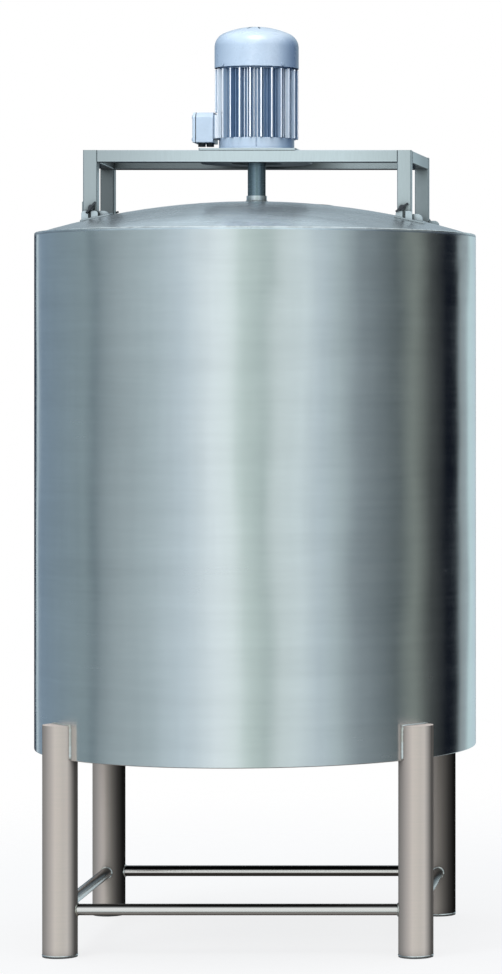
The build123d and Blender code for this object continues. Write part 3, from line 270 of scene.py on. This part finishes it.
def brushed_steel(name, tint, roughness, lines, anisotropy=0.0, wave=0.0, smear=0.08, grain=0.05,
                  grime=None, across=None, rounding=0.0, bump=0.00008, metallic=1.0, facing=False):
    """Brushed stainless steel.

    lines: scales of the brush marks, or one number for rings.  grain: how much they shade the steel.
    grime: (reach, darkest share) of the painted shade in crevices.  across: a function that shades the steel by
    place.
    """
    material, tree = new_material(name)
    marks = ring_lines(tree, lines) if isinstance(lines, (int, float)) else axis_lines(tree, lines)
    clouds = tree.noise(tree.place(), 4.5, detail=5.0, roughness=0.62)
    shares = [
        tree.remap(marks, 0.3, 0.7, 1.0 - grain, 1.0 + grain * 0.4),
        tree.remap(clouds, 0.35, 0.7, 0.97, 1.03),
    ]
    # painted shade in crevices, darker where other parts are near
    if grime:
        shares.append(crevices(tree, *grime))
    if across:
        shares.append(across(tree))
    tone = dimmed(tree, tint, *shares)
    rough = tree.math("ADD", roughness, tree.remap(marks, 0.3, 0.7, -0.02, 0.03))
    rough = tree.math("ADD", rough, tree.remap(clouds, 0.35, 0.75, -smear * 0.5, smear * 0.5))
    normal = tree.add("Bevel", {"Radius": rounding}, samples=4).outputs[0] if rounding else None
    if facing:
        normal = turned_to_viewer(tree)
    if bump:
        normal = tree.bump(marks, bump, 0.35, normal)
    if wave:
        swell = tree.add("Mapping", {"Vector": tree.place(), "Scale": (2.2, 2.2, 1.5)}).outputs[0]
        swell = tree.noise(swell, 1.0, detail=1.5)
        dents = tree.add("Mapping", {"Vector": tree.place(), "Scale": (5, 5, 7)}).outputs[0]
        dents = tree.remap(tree.noise(dents, 1.0, detail=1.5), 0.0, 1.0, 0.0, 0.30)
        x, y, z = tree.split(tree.place())
        near_rim = tree.remap(z, SHELL_TOP - 0.30, SHELL_TOP - 0.02, 0.15, 1.0, smooth=True)
        swell = tree.math("ADD", swell, tree.math("MULTIPLY", dents, near_rim))
        normal = tree.bump(swell, wave, 1.0, normal)
    inputs = {"Base Color": tone, "Metallic": metallic, "Roughness": rough}
    if normal is not None:
        inputs["Normal"] = normal
    if anisotropy:
        inputs["Anisotropic"] = anisotropy
        inputs["Anisotropic Rotation"] = 0.25
        inputs["Tangent"] = tree.add("Tangent", direction_type="RADIAL", axis="Z").outputs[0]
    tree.surface(tree.add("BsdfPrincipled", inputs).outputs[0])
    return material


def underside(tree, darkest):
    """Painted shade: 1 on faces that look up or sideways, falling to darkest on faces that look down, but not in
    reflections.
    """
    x, y, z = tree.split(tree.add("NewGeometry").outputs["Normal"])
    shade = tree.remap(z, -0.85, -0.35, darkest, 1.0, smooth=True)
    return weighed(tree, tree.add("LightPath").outputs["Is Camera Ray"], shade)


def bridge_shade(tree):
    """Painted light and shade on the bridge: its ends, its far half, the motor's shadow on it, the lantern below
    the beams and the undersides are darker, and the front beam's lower arris gets a painted highlight.
    """
    x, y, z = tree.split(tree.place())
    left = tree.remap(x, -0.42, -0.05, 0.66, 1.0, smooth=True)
    right = tree.remap(x, 0.20, 0.42, 1.0, 0.80, smooth=True)
    far_shade = tree.remap(x, -0.10, 0.38, 0.38, 0.74, smooth=True)
    shaded = tree.remap(tree.math("ABSOLUTE", tree.math("SUBTRACT", x, 0.03)), 0.10, 0.20, 0.50, 1.0, smooth=True)
    rear = weighed(tree, far_side(tree, BRIDGE_BLEND), tree.math("MULTIPLY", far_shade, shaded))
    low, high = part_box("beam_front")
    # painted highlight along the front beam's lower arris
    arris = tree.remap(z, low.z + 0.0015, low.z + 0.0045, 1.35, 1.0, smooth=True)
    on_beam = tree.math("MULTIPLY", tree.math("LESS_THAN", y, low.y + 0.001),
                        tree.math("LESS_THAN", tree.math("ABSOLUTE", x), high.x - 0.001))
    on_beam = tree.math("MULTIPLY", on_beam, tree.math("GREATER_THAN", z, low.z - 0.001))
    shade = tree.math("MULTIPLY", tree.math("MULTIPLY", left, right), rear)
    shade = tree.math("MULTIPLY", shade, weighed(tree, on_beam, arris))
    # painted shade on the lantern below the beams
    lantern = tree.math("MULTIPLY", tree.math("LESS_THAN", z, low.z - 0.0005),
                        tree.math("LESS_THAN", tree.math("ABSOLUTE", x), LANTERN_REACH))
    shade = tree.math("MULTIPLY", shade, weighed(tree, lantern, 0.45))
    return tree.math("MULTIPLY", shade, underside(tree, 0.04))


def outline_shade(tree, start, end, darkest):
    """Painted shade: 1 where a round bar faces the viewer, falling to darkest towards its outline."""
    facing = tree.add("LayerWeight", {"Blend": 0.5}).outputs["Facing"]
    return tree.remap(facing, start, end, 1.0, darkest, smooth=True)


# Painted shade along the shaft's outline
def shaft_shade(tree):
    return outline_shade(tree, 0.40, 0.80, 0.15)


def profile(tree, axis, stops):
    """Painted light and shade by how far the face looks to the viewer's right (axis 0) or up (axis 1), from -1 to
    1.
    """
    turn = tree.split(seen_by_camera(tree, tree.add("NewGeometry").outputs["Normal"], "NORMAL"))[axis]
    strongest = max(share for place, share in stops)
    greys = [((place + 1) / 2, (share / strongest,) * 3) for place, share in stops]
    shade = tree.ramp(tree.remap(turn, -1.0, 1.0), greys, "LINEAR")
    return tree.math("MULTIPLY", tree.split(shade)[0], strongest), turn


def bar_shade(tree):
    """Painted light and shade on the level bars: bright along the middle, dark along the top, and on the far side a
    narrower light.
    """
    shade, turn = profile(tree, 1, BAR_PROFILE)
    narrow = tree.remap(tree.math("ABSOLUTE", turn), 0.12, 0.36, 1.0, 0.10, smooth=True)
    return tree.math("MULTIPLY", shade, weighed(tree, far_side(tree, LEG_BLEND), narrow))


def leg_shade(tree):
    """Painted light and shade on the legs: light in the middle, dark down the right edge, and darker still on the
    far side.
    """
    shade, turn = profile(tree, 0, LEG_PROFILE)
    x, y, z = tree.split(tree.place())
    far_shade = tree.math("MULTIPLY", tree.remap(turn, -0.35, 0.70, 1.0, 0.16, smooth=True),
                     tree.remap(x, -0.30, 0.30, 1.0, 0.55, smooth=True))
    return tree.math("MULTIPLY", shade, weighed(tree, far_side(tree, LEG_BLEND), far_shade))


def shell_streaks(tree):
    """Faint wipe marks down the cladding, and fainter smudges along its brushing."""
    wipes = tree.add("Mapping", {"Vector": tree.place(), "Scale": (16, 16, 0.9)}).outputs[0]
    wipes = tree.remap(tree.noise(wipes, 1.0, detail=4.0, roughness=0.6), 0.35, 0.72, 1.015, 0.965)
    smudges = tree.add("Mapping", {"Vector": tree.place(), "Scale": (1.6, 1.6, 17)}).outputs[0]
    smudges = tree.remap(tree.noise(smudges, 1.0, detail=5.0, roughness=0.65), 0.3, 0.72, 1.04, 0.95)
    return tree.math("MULTIPLY", wipes, smudges)


def dome_shade(tree):
    """Wipe marks across the dome, painted shade towards its ends, and on a belt either side of the shaft's foot a
    painted highlight in the middle falling to painted shade at the sides.
    """
    wipes = tree.add("Mapping", {"Vector": tree.place(), "Scale": (3.5, 26, 10)}).outputs[0]
    wipes = tree.remap(tree.noise(wipes, 1.0, detail=4.0, roughness=0.6), 0.32, 0.70, 1.08, 0.86)
    x, y, z = tree.split(tree.place())
    ends = tree.math("MULTIPLY", tree.remap(x, -0.50, -0.20, 0.74, 1.0, smooth=True),
                     tree.remap(x, 0.15, 0.42, 1.0, 0.84, smooth=True))
    belt = tree.remap(tree.math("ABSOLUTE", y), 0.39, 0.48, 1.0, 0.0, smooth=True)
    sides = tree.remap(tree.math("ABSOLUTE", x), 0.02, 0.13, 1.15, 0.68, smooth=True)
    return tree.math("MULTIPLY", tree.math("MULTIPLY", wipes, ends), weighed(tree, belt, sides))


def fin_shade(tree):
    """Painted light and shade on the finned housing: painted shade at the bottom of its gaps, a painted highlight
    on the low ribs, and gaps by turns lit and shaded.
    """
    away = axis_distance(tree)
    x, y, z = tree.split(tree.place())
    bottom = tree.remap(away, HOUSING_RADIUS + 0.0022, HOUSING_RADIUS + 0.0034, 0.60, 1.0)
    ribs = tree.math("MULTIPLY", tree.math("GREATER_THAN", away, HOUSING_RADIUS + 0.0032),
                     tree.math("LESS_THAN", away, RIB_RADIUS + 0.001))
    turn = tree.math("ARCTAN2", x, tree.math("MULTIPLY", y, -1.0))
    swing = tree.math("COSINE", tree.math("MULTIPLY", tree.math("ADD", turn, FIRST_FIN_TURN), LIT_GAP_TURNS))
    # painted light and shade that take turns round the housing
    gap_light = tree.remap(swing, -0.55, 0.55, 0.34, 1.22, smooth=True)
    in_gap = tree.math("LESS_THAN", away, FIN_RADIUS - 0.0015)
    shade = tree.math("MULTIPLY", bottom, weighed(tree, ribs, 1.40))
    return tree.math("MULTIPLY", shade, weighed(tree, in_gap, gap_light))


def bluer(tree, tone, shade):
    """tone darkened by shade, most in its red and least in its blue."""
    fall = tree.join(shade, tree.math("POWER", shade, 0.75), tree.math("POWER", shade, 0.50))
    return tree.mix(1.0, tone, fall, "MULTIPLY")


def machine_paint(name, color, roughness=0.34, tip_highlight_radius=None, across=None):
    """Sprayed machine paint with orange peel and dust; past tip_highlight_radius from the axis it takes a pale
    painted highlight.
    """
    material, tree = new_material(name)
    clouds = tree.noise(tree.place(), 22.0, detail=5.0, roughness=0.6)
    specks = tree.remap(tree.noise(tree.place(), 160.0, detail=3.0), 0.62, 0.72, 0.0, 0.5)
    tone = tree.mix(tree.remap(clouds, 0.35, 0.7), color, tuple(c * 0.92 for c in color))
    tone = tree.mix(specks, tone, tuple(c * 0.80 for c in color))
    rough = tree.remap(clouds, 0.3, 0.7, roughness - 0.05, roughness + 0.07)
    # painted highlight on the fin tips, pale blue-white
    if tip_highlight_radius:
        away = axis_distance(tree)
        tip_highlight = tree.remap(away, tip_highlight_radius - 0.0015, tip_highlight_radius, smooth=True)
        tip_highlight = tree.math("MULTIPLY", tip_highlight, tree.math("LESS_THAN", away, tip_highlight_radius + 0.0012))
        tone = tree.mix(tip_highlight, tone, (0.86, 0.90, 0.95))
    if across:
        tone = bluer(tree, tone, across(tree))
    # painted light and shade by how the face turns to the viewer
    tone = bluer(tree, tone, profile(tree, 0, PAINT_PROFILE)[0])
    # painted shade: crevices take the dark blue PAINT_SHADOW
    tone = tree.mix(crevices(tree, 0.008, 0.0, 0.15, 0.85), PAINT_SHADOW, tone)
    peel = tree.noise(tree.place(), 900.0, detail=2.0)
    soft_edges = tree.add("Bevel", {"Radius": 0.0012}, samples=4).outputs[0]
    inputs = {
        "Base Color": tone,
        "Roughness": rough,
        "Normal": tree.bump(peel, 0.0002, 0.25, soft_edges),
        "Specular IOR Level": 0.7,
        "Coat Weight": 0.30,
        "Coat Roughness": 0.25,
    }
    tree.surface(tree.add("BsdfPrincipled", inputs).outputs[0])
    return material


def moulded(name, color, roughness, grain=700.0, depth=0.0003):
    """Moulded plastic or rubber with a fine eroded grain."""
    material, tree = new_material(name)
    grit = tree.noise(tree.place(), grain, detail=3.0)
    clouds = tree.noise(tree.place(), 30.0, detail=4.0)
    tone = tree.mix(tree.remap(clouds, 0.35, 0.7), color, tuple(c * 1.6 + 0.01 for c in color))
    inputs = {
        "Base Color": tone,
        "Roughness": tree.remap(clouds, 0.3, 0.7, roughness - 0.06, roughness + 0.08),
        "Normal": tree.bump(grit, depth, 0.4),
    }
    tree.surface(tree.add("BsdfPrincipled", inputs).outputs[0])
    return material


def machined(name, tint, roughness):
    """Turned or stamped metal with fine tool marks and a little tarnish."""
    material, tree = new_material(name)
    marks = tree.noise(tree.place(), 420.0, detail=4.0, roughness=0.7)
    tarnish = tree.noise(tree.place(), 60.0, detail=5.0)
    tone = tree.mix(tree.remap(tarnish, 0.4, 0.7), tint, tuple(c * 0.72 for c in tint))
    inputs = {
        "Base Color": tone,
        "Metallic": 1.0,
        "Roughness": tree.remap(marks, 0.3, 0.7, roughness - 0.06, roughness + 0.08),
        "Normal": tree.bump(marks, 0.0002, 0.3),
    }
    tree.surface(tree.add("BsdfPrincipled", inputs).outputs[0])
    return material


def foam_material(name):
    """Closed-cell foam with a speckled cut face."""
    material, tree = new_material(name)
    cells = tree.add("TexVoronoi", {"Vector": tree.place(), "Scale": 320.0}).outputs["Distance"]
    tone = tree.mix(tree.remap(cells, 0.0, 0.6), (0.62, 0.50, 0.24), (0.80, 0.70, 0.42))
    inputs = {"Base Color": tone, "Roughness": 0.9, "Normal": tree.bump(cells, 0.0008, 0.6)}
    tree.surface(tree.add("BsdfPrincipled", inputs).outputs[0])
    return material


def weld_material(name):
    """A brushed-off weld bead, a little warmer than the sheet beside it."""
    material, tree = new_material(name)
    heat = tree.noise(tree.place(), 38.0, detail=4.0)
    tone = tree.mix(tree.remap(heat, 0.4, 0.7), (0.86, 0.86, 0.85), (0.68, 0.62, 0.52))
    inputs = {"Base Color": tone, "Metallic": 1.0, "Roughness": tree.remap(heat, 0.3, 0.7, 0.28, 0.42)}
    tree.surface(tree.add("BsdfPrincipled", inputs).outputs[0])
    return material


MOTOR_BLUE = (0.40, 0.49, 0.60)
# Painted light and shade on the motor paint, by how far the face turns to the viewer's right: (turn, share)
PAINT_PROFILE = ((-1.0, 0.70), (-0.87, 0.86), (-0.40, 0.97), (0.13, 1.0), (0.45, 1.08), (0.60, 1.02), (0.73, 0.82),
                 (0.87, 0.62), (1.0, 0.52))
LIT_GAP_TURNS = 6              # how often lit and shaded gaps take turns round the finned housing, as painted light and shade
FIRST_FIN_TURN = math.radians(1.5)
PAINT_SHADOW = (0.07, 0.14, 0.27)
SHEET_TINT = (0.78, 0.79, 0.79)
# the legs' warm tint is a painted reflection of warm surroundings
WARM_TINT = (0.96, 0.785, 0.71)
# Painted light and shade on the legs, by how far the face turns to the viewer's right: (turn, share)
LEG_PROFILE = ((-1.0, 0.40), (-0.91, 0.56), (-0.70, 0.58), (-0.35, 0.74), (-0.11, 0.92), (0.12, 0.94),
               (0.34, 0.92), (0.56, 1.0), (0.75, 0.70), (0.92, 0.26), (1.0, 0.38))
# Painted light and shade on the level bars, by how far the face turns up: (turn, share)
BAR_PROFILE = ((-1.0, 0.10), (-0.80, 0.15), (-0.66, 1.5), (-0.40, 1.6), (-0.20, 1.15), (0.0, 0.80), (0.30, 0.95),
               (0.46, 0.45), (0.60, 0.06), (0.85, 0.06), (0.95, 0.50))


BRIDGE_BLEND = 0.10         # how far either side of the tank's axis the far side's painted shade comes in
LEG_BLEND = 0.25


def make_materials():
    steel = brushed_steel
    return {
        "shell_steel": steel("shell_steel", SHEET_TINT, 0.23, (2, 2, 110), 0.9, 0.013, grain=0.02,
                             across=shell_streaks, bump=0.0),
        "dome_steel": steel("dome_steel", (0.86, 0.92, 0.95), 0.27, 420.0, grain=0.06, grime=(0.03, 0.55),
                            across=dome_shade, bump=0.00004, metallic=0.80),
        "vessel_steel": steel("vessel_steel", SHEET_TINT, 0.30, (3, 3, 420)),
        "foam": foam_material("foam"),
        "leg_steel": steel("leg_steel", WARM_TINT, 0.50, (9, 9, 260), 0.3, grain=0.03, grime=(0.03, 0.5),
                           across=leg_shade, bump=0.0, facing=True),
        # the bars' warm tint is a painted reflection of warm surroundings
        "bar_steel": steel("bar_steel", (1.0, 0.90, 0.86), 0.24, (6, 6, 6), grain=0.02, grime=(0.012, 0.4),
                           across=bar_shade, bump=0.0),
        "frame_steel": steel("frame_steel", (0.77, 0.81, 0.83), 0.34, (200, 200, 30), grain=0.05,
                             grime=(0.045, 0.10), across=bridge_shade, rounding=0.0020, bump=0.0),
        "foot_rubber": moulded("foot_rubber", (0.06, 0.06, 0.055), 0.75),
        "bracket_steel": steel("bracket_steel", (0.68, 0.72, 0.76), 0.30, (150, 150, 150),
                               grime=(0.016, 0.20), rounding=0.0015),
        "neck_steel": steel("neck_steel", (0.84, 0.86, 0.87), 0.30, (6, 6, 300), grime=(0.02, 0.4)),
        "seal_rubber": moulded("seal_rubber", (0.03, 0.03, 0.032), 0.6),
        # the shaft's dark tint is painted shade from the motor and lantern above it
        "shaft_steel": steel("shaft_steel", (0.24, 0.31, 0.35), 0.26, (8, 8, 500), 0.7, across=shaft_shade),
        "motor_paint": machine_paint("motor_paint", MOTOR_BLUE),
        "fin_paint": machine_paint("fin_paint", MOTOR_BLUE, 0.34, FIN_RADIUS - 0.0005, fin_shade),
        "cowl_paint": machine_paint("cowl_paint", MOTOR_BLUE, 0.28),
        "black_plastic": moulded("black_plastic", (0.02, 0.02, 0.022), 0.42),
        "bearing_steel": machined("bearing_steel", (0.70, 0.70, 0.70), 0.25),
        "lamination": machined("lamination", (0.36, 0.36, 0.37), 0.45),
        "copper": machined("copper", (0.80, 0.38, 0.20), 0.35),
        "fastener_steel": machined("fastener_steel", (0.72, 0.72, 0.71), 0.30),
        "board_plastic": moulded("board_plastic", (0.32, 0.10, 0.05), 0.55),
        "lid_steel": steel("lid_steel", (0.76, 0.78, 0.79), 0.28, (160, 160, 160), wave=0.0004),
        "handle_black": moulded("handle_black", (0.025, 0.025, 0.028), 0.45),
        "screw_black": machined("screw_black", (0.10, 0.10, 0.11), 0.38),
        "weld": weld_material("weld"),
        "rim": machined("rim", (0.92, 0.93, 0.93), 0.22),
    }


def dress_cad_nodes(materials):
    """Every node gets its slot's material, apart from the level bars and the finned housing."""
    for name, node in NODES.items():
        finish = "bar_steel" if name.startswith("stretchers") else SLOT_OF_NODE[name]
        if name == "motor_housing":
            finish = "fin_paint"
        for slot in node.material_slots:
            slot.material = materials[finish]


# ---------------------------------------------------------------- welds and beads

def bead(name, points, radius, material, closed=False, ripple=0.0, sides=8):
    """A round bead swept along points.  ripple swells it by that share at every other point."""
    shape = bmesh.new()
    rings = []
    count = len(points)
    for i, point in enumerate(points):
        here = Vector(point)
        before = Vector(points[i - 1] if closed or i else point)
        after = Vector(points[(i + 1) % count] if closed or i + 1 < count else point)
        along = (after - before).normalized()
        side = along.cross(Vector((0, 0, 1)) if abs(along.z) < 0.9 else Vector((1, 0, 0))).normalized()
        up = side.cross(along)
        size = radius * (1 + ripple * (-1) ** i)
        ring = []
        for k in range(sides):
            turn = 2 * math.pi * k / sides
            ring.append(shape.verts.new(here + size * (math.cos(turn) * side + math.sin(turn) * up)))
        rings.append(ring)
    for i in range(count if closed else count - 1):
        first, second = rings[i], rings[(i + 1) % count]
        for k in range(sides):
            shape.faces.new((first[k], first[(k + 1) % sides], second[(k + 1) % sides], second[k]))
    if not closed:
        shape.faces.new(rings[0])
        shape.faces.new(list(reversed(rings[-1])))
    bmesh.ops.recalc_face_normals(shape, faces=shape.faces)
    mesh = bpy.data.meshes.new(name)
    shape.to_mesh(mesh)
    shape.free()
    mesh.shade_smooth()
    mesh.materials.append(material)
    piece = bpy.data.objects.new(name, mesh)
    bpy.context.scene.collection.objects.link(piece)
    return piece


def ring(radius, height, count, x=0.0, y=0.0):
    """Points round an upright axis.  height is a number or a function of x and y."""
    points = []
    for i in range(count):
        turn = 2 * math.pi * i / count
        px, py = x + radius * math.cos(turn), y + radius * math.sin(turn)
        points.append((px, py, height(px, py) if callable(height) else height))
    return points


def dome_height(x, y):
    """Height of the dome's outer face."""
    ball = (SHELL_RADIUS**2 + DOME_RISE**2) / (2 * DOME_RISE)
    return SHELL_TOP + DOME_RISE - ball + math.sqrt(ball**2 - x**2 - y**2)


def leg_seam(x, y, top):
    """Up one side of a leg where it meets the shell, round the shell over the leg's cap, and down."""
    reach = math.hypot(x, y)
    middle = math.atan2(y, x)
    inner = (SHELL_RADIUS**2 + reach**2 - LEG_RADIUS**2) / (2 * SHELL_RADIUS * reach)
    spread = math.acos(inner)
    points = []
    for i in range(16):
        height = SHELL_BOTTOM + (top - SHELL_BOTTOM) * i / 16
        points.append((SHELL_RADIUS * math.cos(middle - spread), SHELL_RADIUS * math.sin(middle - spread), height))
    down = []
    for px, py, height in points:
        down.append((SHELL_RADIUS * math.cos(middle + spread), SHELL_RADIUS * math.sin(middle + spread), height))
    for i in range(17):
        turn = middle + spread * (i / 8 - 1)
        points.append((SHELL_RADIUS * math.cos(turn), SHELL_RADIUS * math.sin(turn), top))
    return points + down[::-1]


def saddle(x, y, z, toward_x, toward_y):
    """Where a stretcher that leaves a leg in that direction meets the leg's round wall."""
    points = []
    for i in range(28):
        turn = 2 * math.pi * i / 28
        across = STRETCHER_RADIUS * math.cos(turn)
        out = math.sqrt(LEG_RADIUS**2 - across**2)
        px = x + toward_x * out + toward_y * across
        py = y + toward_y * out + toward_x * across
        points.append((px, py, z + STRETCHER_RADIUS * math.sin(turn)))
    return points


def middle_of(node):
    low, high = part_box(node)
    return (low + high) / 2


def shoe_outline(x, y, low, high):
    """A bracket shoe's outline, on the dome."""
    points = []
    corners = ((low.x, low.y), (high.x, low.y), (high.x, high.y), (low.x, high.y))
    for i, (ax, ay) in enumerate(corners):
        bx, by = corners[(i + 1) % 4]
        for k in range(8):
            px, py = ax + (bx - ax) * k / 8, ay + (by - ay) * k / 8
            points.append((px, py, dome_height(px, py) + 0.001))
    return points


def add_beads(materials):
    """Every weld and bead on the tank."""
    weld, rim = materials["weld"], materials["rim"]
    beads = [
        (bead("rim_bead", ring(SHELL_RADIUS - 0.0036, SHELL_TOP + 0.0008, 240), 0.0032, rim, True), "shell_steel"),
        (bead("bottom_bead", ring(SHELL_RADIUS - 0.0026, SHELL_BOTTOM, 240), 0.0024, rim, True), "shell_steel"),
    ]
    low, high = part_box("manway_neck")
    manway_y = (low.y + high.y) / 2
    manway_radius = (high.x - low.x) / 2
    beads.append((bead("manway_weld", ring(manway_radius, lambda x, y: dome_height(x, y) + 0.001, 180, 0, manway_y),
                       0.003, weld, True, 0.12), "bracket_steel"))
    low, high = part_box("shaft_neck")
    beads.append((bead("neck_weld", ring((high.x - low.x) / 2, dome_height(0, 0), 60), 0.003, weld, True, 0.12),
                  "bracket_steel"))
    turn = math.radians(62)
    seam = []
    for i in range(160):
        height = SHELL_BOTTOM + 0.004 + (SHELL_TOP - SHELL_BOTTOM - 0.008) * i / 159
        seam.append(((SHELL_RADIUS - 0.001) * math.cos(turn), (SHELL_RADIUS - 0.001) * math.sin(turn), height))
    beads.append((bead("shell_seam", seam, 0.0018, weld, ripple=0.10), "shell_steel"))
    stretcher_z = middle_of("stretchers_front_rear").z
    for corner in ("front_left", "front_right", "rear_left", "rear_right"):
        center = middle_of("leg_" + corner)
        side_x = math.copysign(1, center.x)
        side_y = math.copysign(1, center.y)
        low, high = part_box("leg_" + corner)
        x = math.copysign(max(abs(low.x), abs(high.x)) - LEG_RADIUS, side_x)
        y = math.copysign(max(abs(low.y), abs(high.y)) - LEG_RADIUS, side_y)
        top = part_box("leg_caps")[1].z
        path = leg_seam(x, y, top)
        beads.append((bead("leg_weld_" + corner, path, 0.0032, weld, ripple=0.10), "leg_steel"))
        path = saddle(x, y, stretcher_z, -side_x, 0)
        beads.append((bead("stretcher_weld_x_" + corner, path, 0.0028, weld, True, 0.12), "leg_steel"))
        path = saddle(x, y, stretcher_z, 0, -side_y)
        beads.append((bead("stretcher_weld_y_" + corner, path, 0.0028, weld, True, 0.12), "leg_steel"))
        beads.append((bead("foot_bead_" + corner, ring(LEG_RADIUS - 0.0008, low.z, 64, x, y), 0.0018, rim, True),
                      "leg_steel"))
    for piece, slot in beads:
        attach(piece, "tank")


# ---------------------------------------------------------------- studio

def studio_world():
    """White to the camera, upright panels to the steel, and a soft sky for everything else."""
    world = bpy.data.worlds.new("studio")
    bpy.context.scene.world = world
    tree = Tree(world)
    x, y, z = tree.split(tree.add("TexCoord").outputs["Generated"])
    turn = tree.math("ARCTAN2", x, tree.math("MULTIPLY", y, -1.0))
    share = tree.remap(turn, -math.pi, math.pi)
    stops = [(azimuth / 360 + 0.5, color) for azimuth, color in STUDIO_PANELS]
    panels = tree.ramp(share, stops, "LINEAR")
    overhead = tree.remap(z, SKY_FROM, SKY_TO, smooth=True)
    below = tree.remap(z, -0.75, -0.25, 1.0, 0.0, smooth=True)
    behind = tree.remap(tree.math("COSINE", turn), -0.90, -0.98, smooth=True)
    behind = tree.math("MULTIPLY", behind, tree.remap(z, 0.02, 0.10, smooth=True))
    panels = tree.mix(behind, panels, BACK_GLOW)
    seen_by_steel = tree.mix(overhead, panels, SKY_OVER_STEEL)
    seen_by_steel = tree.mix(below, seen_by_steel, FLOOR_GLOW)
    front = tree.remap(tree.math("COSINE", tree.math("ADD", turn, FRONT_TURN)), -0.6, 1.0, smooth=True)
    light = tree.mix(front, SIDE_LIGHT, FRONT_LIGHT)
    light = tree.mix(tree.remap(z, 0.35, 0.8, smooth=True), light, TOP_LIGHT)
    ray = tree.add("LightPath").outputs
    color = tree.mix(ray["Is Glossy Ray"], light, seen_by_steel)
    color = tree.mix(ray["Is Camera Ray"], color, BACKDROP_WHITE)
    background = tree.add("Background", {"Color": color, "Strength": 1.0})
    tree.add("OutputWorld", {"Surface": background.outputs[0]})


def floor():
    """A pale round floor that fades into the backdrop."""
    mesh = bpy.data.meshes.new("floor")
    shape = bmesh.new()
    bmesh.ops.create_circle(shape, cap_ends=True, segments=96, radius=FLOOR_RADIUS)
    shape.to_mesh(mesh)
    shape.free()
    disc = bpy.data.objects.new("floor", mesh)
    bpy.context.scene.collection.objects.link(disc)
    disc.location.z = CAD_BOX[0].z - 0.0005
    disc.visible_glossy = False
    material, tree = new_material("floor")
    x, y, z = tree.split(tree.place())
    radius = tree.math("SQRT", tree.math("ADD", tree.math("MULTIPLY", x, x), tree.math("MULTIPLY", y, y)))
    fade = tree.remap(radius, FLOOR_FADE_FROM, FLOOR_RADIUS * 0.95, smooth=True)
    speckle = tree.remap(tree.noise(tree.place(), 14.0, detail=6.0), 0.3, 0.7)
    tone = tree.mix(speckle, (0.93, 0.93, 0.925), (0.955, 0.955, 0.95))
    matt = tree.add("BsdfDiffuse", {"Color": tone}).outputs[0]
    lit = tree.add("Emission", {"Color": BACKDROP_WHITE}).outputs[0]
    matt = tree.add("MixShader", {0: FLOOR_LIT, 1: matt, 2: lit}).outputs[0]
    fade = tree.math("MAXIMUM", fade, tree.add("NewGeometry").outputs["Backfacing"])
    clear = tree.add("BsdfTransparent").outputs[0]
    mixed = tree.add("MixShader", {0: fade, 1: matt, 2: clear}).outputs[0]
    tree.surface(mixed)
    mesh.materials.append(material)


def softbox(name, place, target, size, power, only=(), color=BACKDROP_WHITE):
    """A round soft light that no gloss shows. With nodes named in only, it lights just those."""
    data = bpy.data.lights.new(name, "AREA")
    data.shape = "DISK"
    data.size = size
    data.energy = power
    data.color = color
    lamp = bpy.data.objects.new(name, data)
    bpy.context.scene.collection.objects.link(lamp)
    lamp.location = place
    lamp.rotation_mode = "QUATERNION"
    lamp.rotation_quaternion = (Vector(target) - Vector(place)).to_track_quat("-Z", "Y")
    lamp.visible_glossy = False
    if only:
        lit = bpy.data.collections.new(name)
        for node in only:
            lit.objects.link(NODES[node])
        lamp.light_linking.receiver_collection = lit
    return lamp


def shift_at_place(camera, channel, shift):
    """Shifts the lens while the camera stands at its own place, and not where another view moves it."""
    curve = camera.data.driver_add(channel)
    while curve.modifiers:
        curve.modifiers.remove(curve.modifiers[0])
    curve.driver.type = "SUM"
    variable = curve.driver.variables.new()
    variable.targets[0].id = camera
    variable.targets[0].data_path = "location.x"
    here = camera.location.x
    points = ((here - SHIFT_REACH, 0.0), (here, shift), (here + SHIFT_REACH, 0.0))
    curve.keyframe_points.add(len(points))
    for key, point in zip(curve.keyframe_points, points):
        key.co = point
        key.interpolation = "LINEAR"


def camera():
    data = bpy.data.cameras.new("camera")
    data.sensor_width = SENSOR_SIZE
    data.lens = CAMERA_LENS
    data.clip_end = 200.0
    seer = bpy.data.objects.new("camera", data)
    bpy.context.scene.collection.objects.link(seer)
    seer.location = CAMERA_PLACE
    seer.rotation_euler = (math.radians(90), 0, 0)
    bpy.context.scene.camera = seer
    for channel, shift in LENS_SHIFT.items():
        shift_at_place(seer, channel, shift)


# ---------------------------------------------------------------- the picture

bpy.context.scene.view_settings.view_transform = "Standard"
MATERIALS = make_materials()
dress_cad_nodes(MATERIALS)
add_beads(MATERIALS)
studio_world()
floor()
softbox("key_light", (-2.6, -3.4, 4.2), (0, 0, 1.2), 2.4, 60.0)
PAINTED = [node for node, slot in SLOT_OF_NODE.items() if slot in ("motor_paint", "cowl_paint")]
softbox("motor_front_light", (-0.15, -3.4, 3.3), (0, 0, 2.1), 1.6, 92.0, PAINTED, (1.0, 0.96, 0.88))
top_light = softbox("motor_top_light", (0.10, -1.3, 4.2), (0, 0, 2.2), 1.5, 34.0, PAINTED, (1.0, 0.97, 0.90))
top_light.visible_glossy = True
camera()
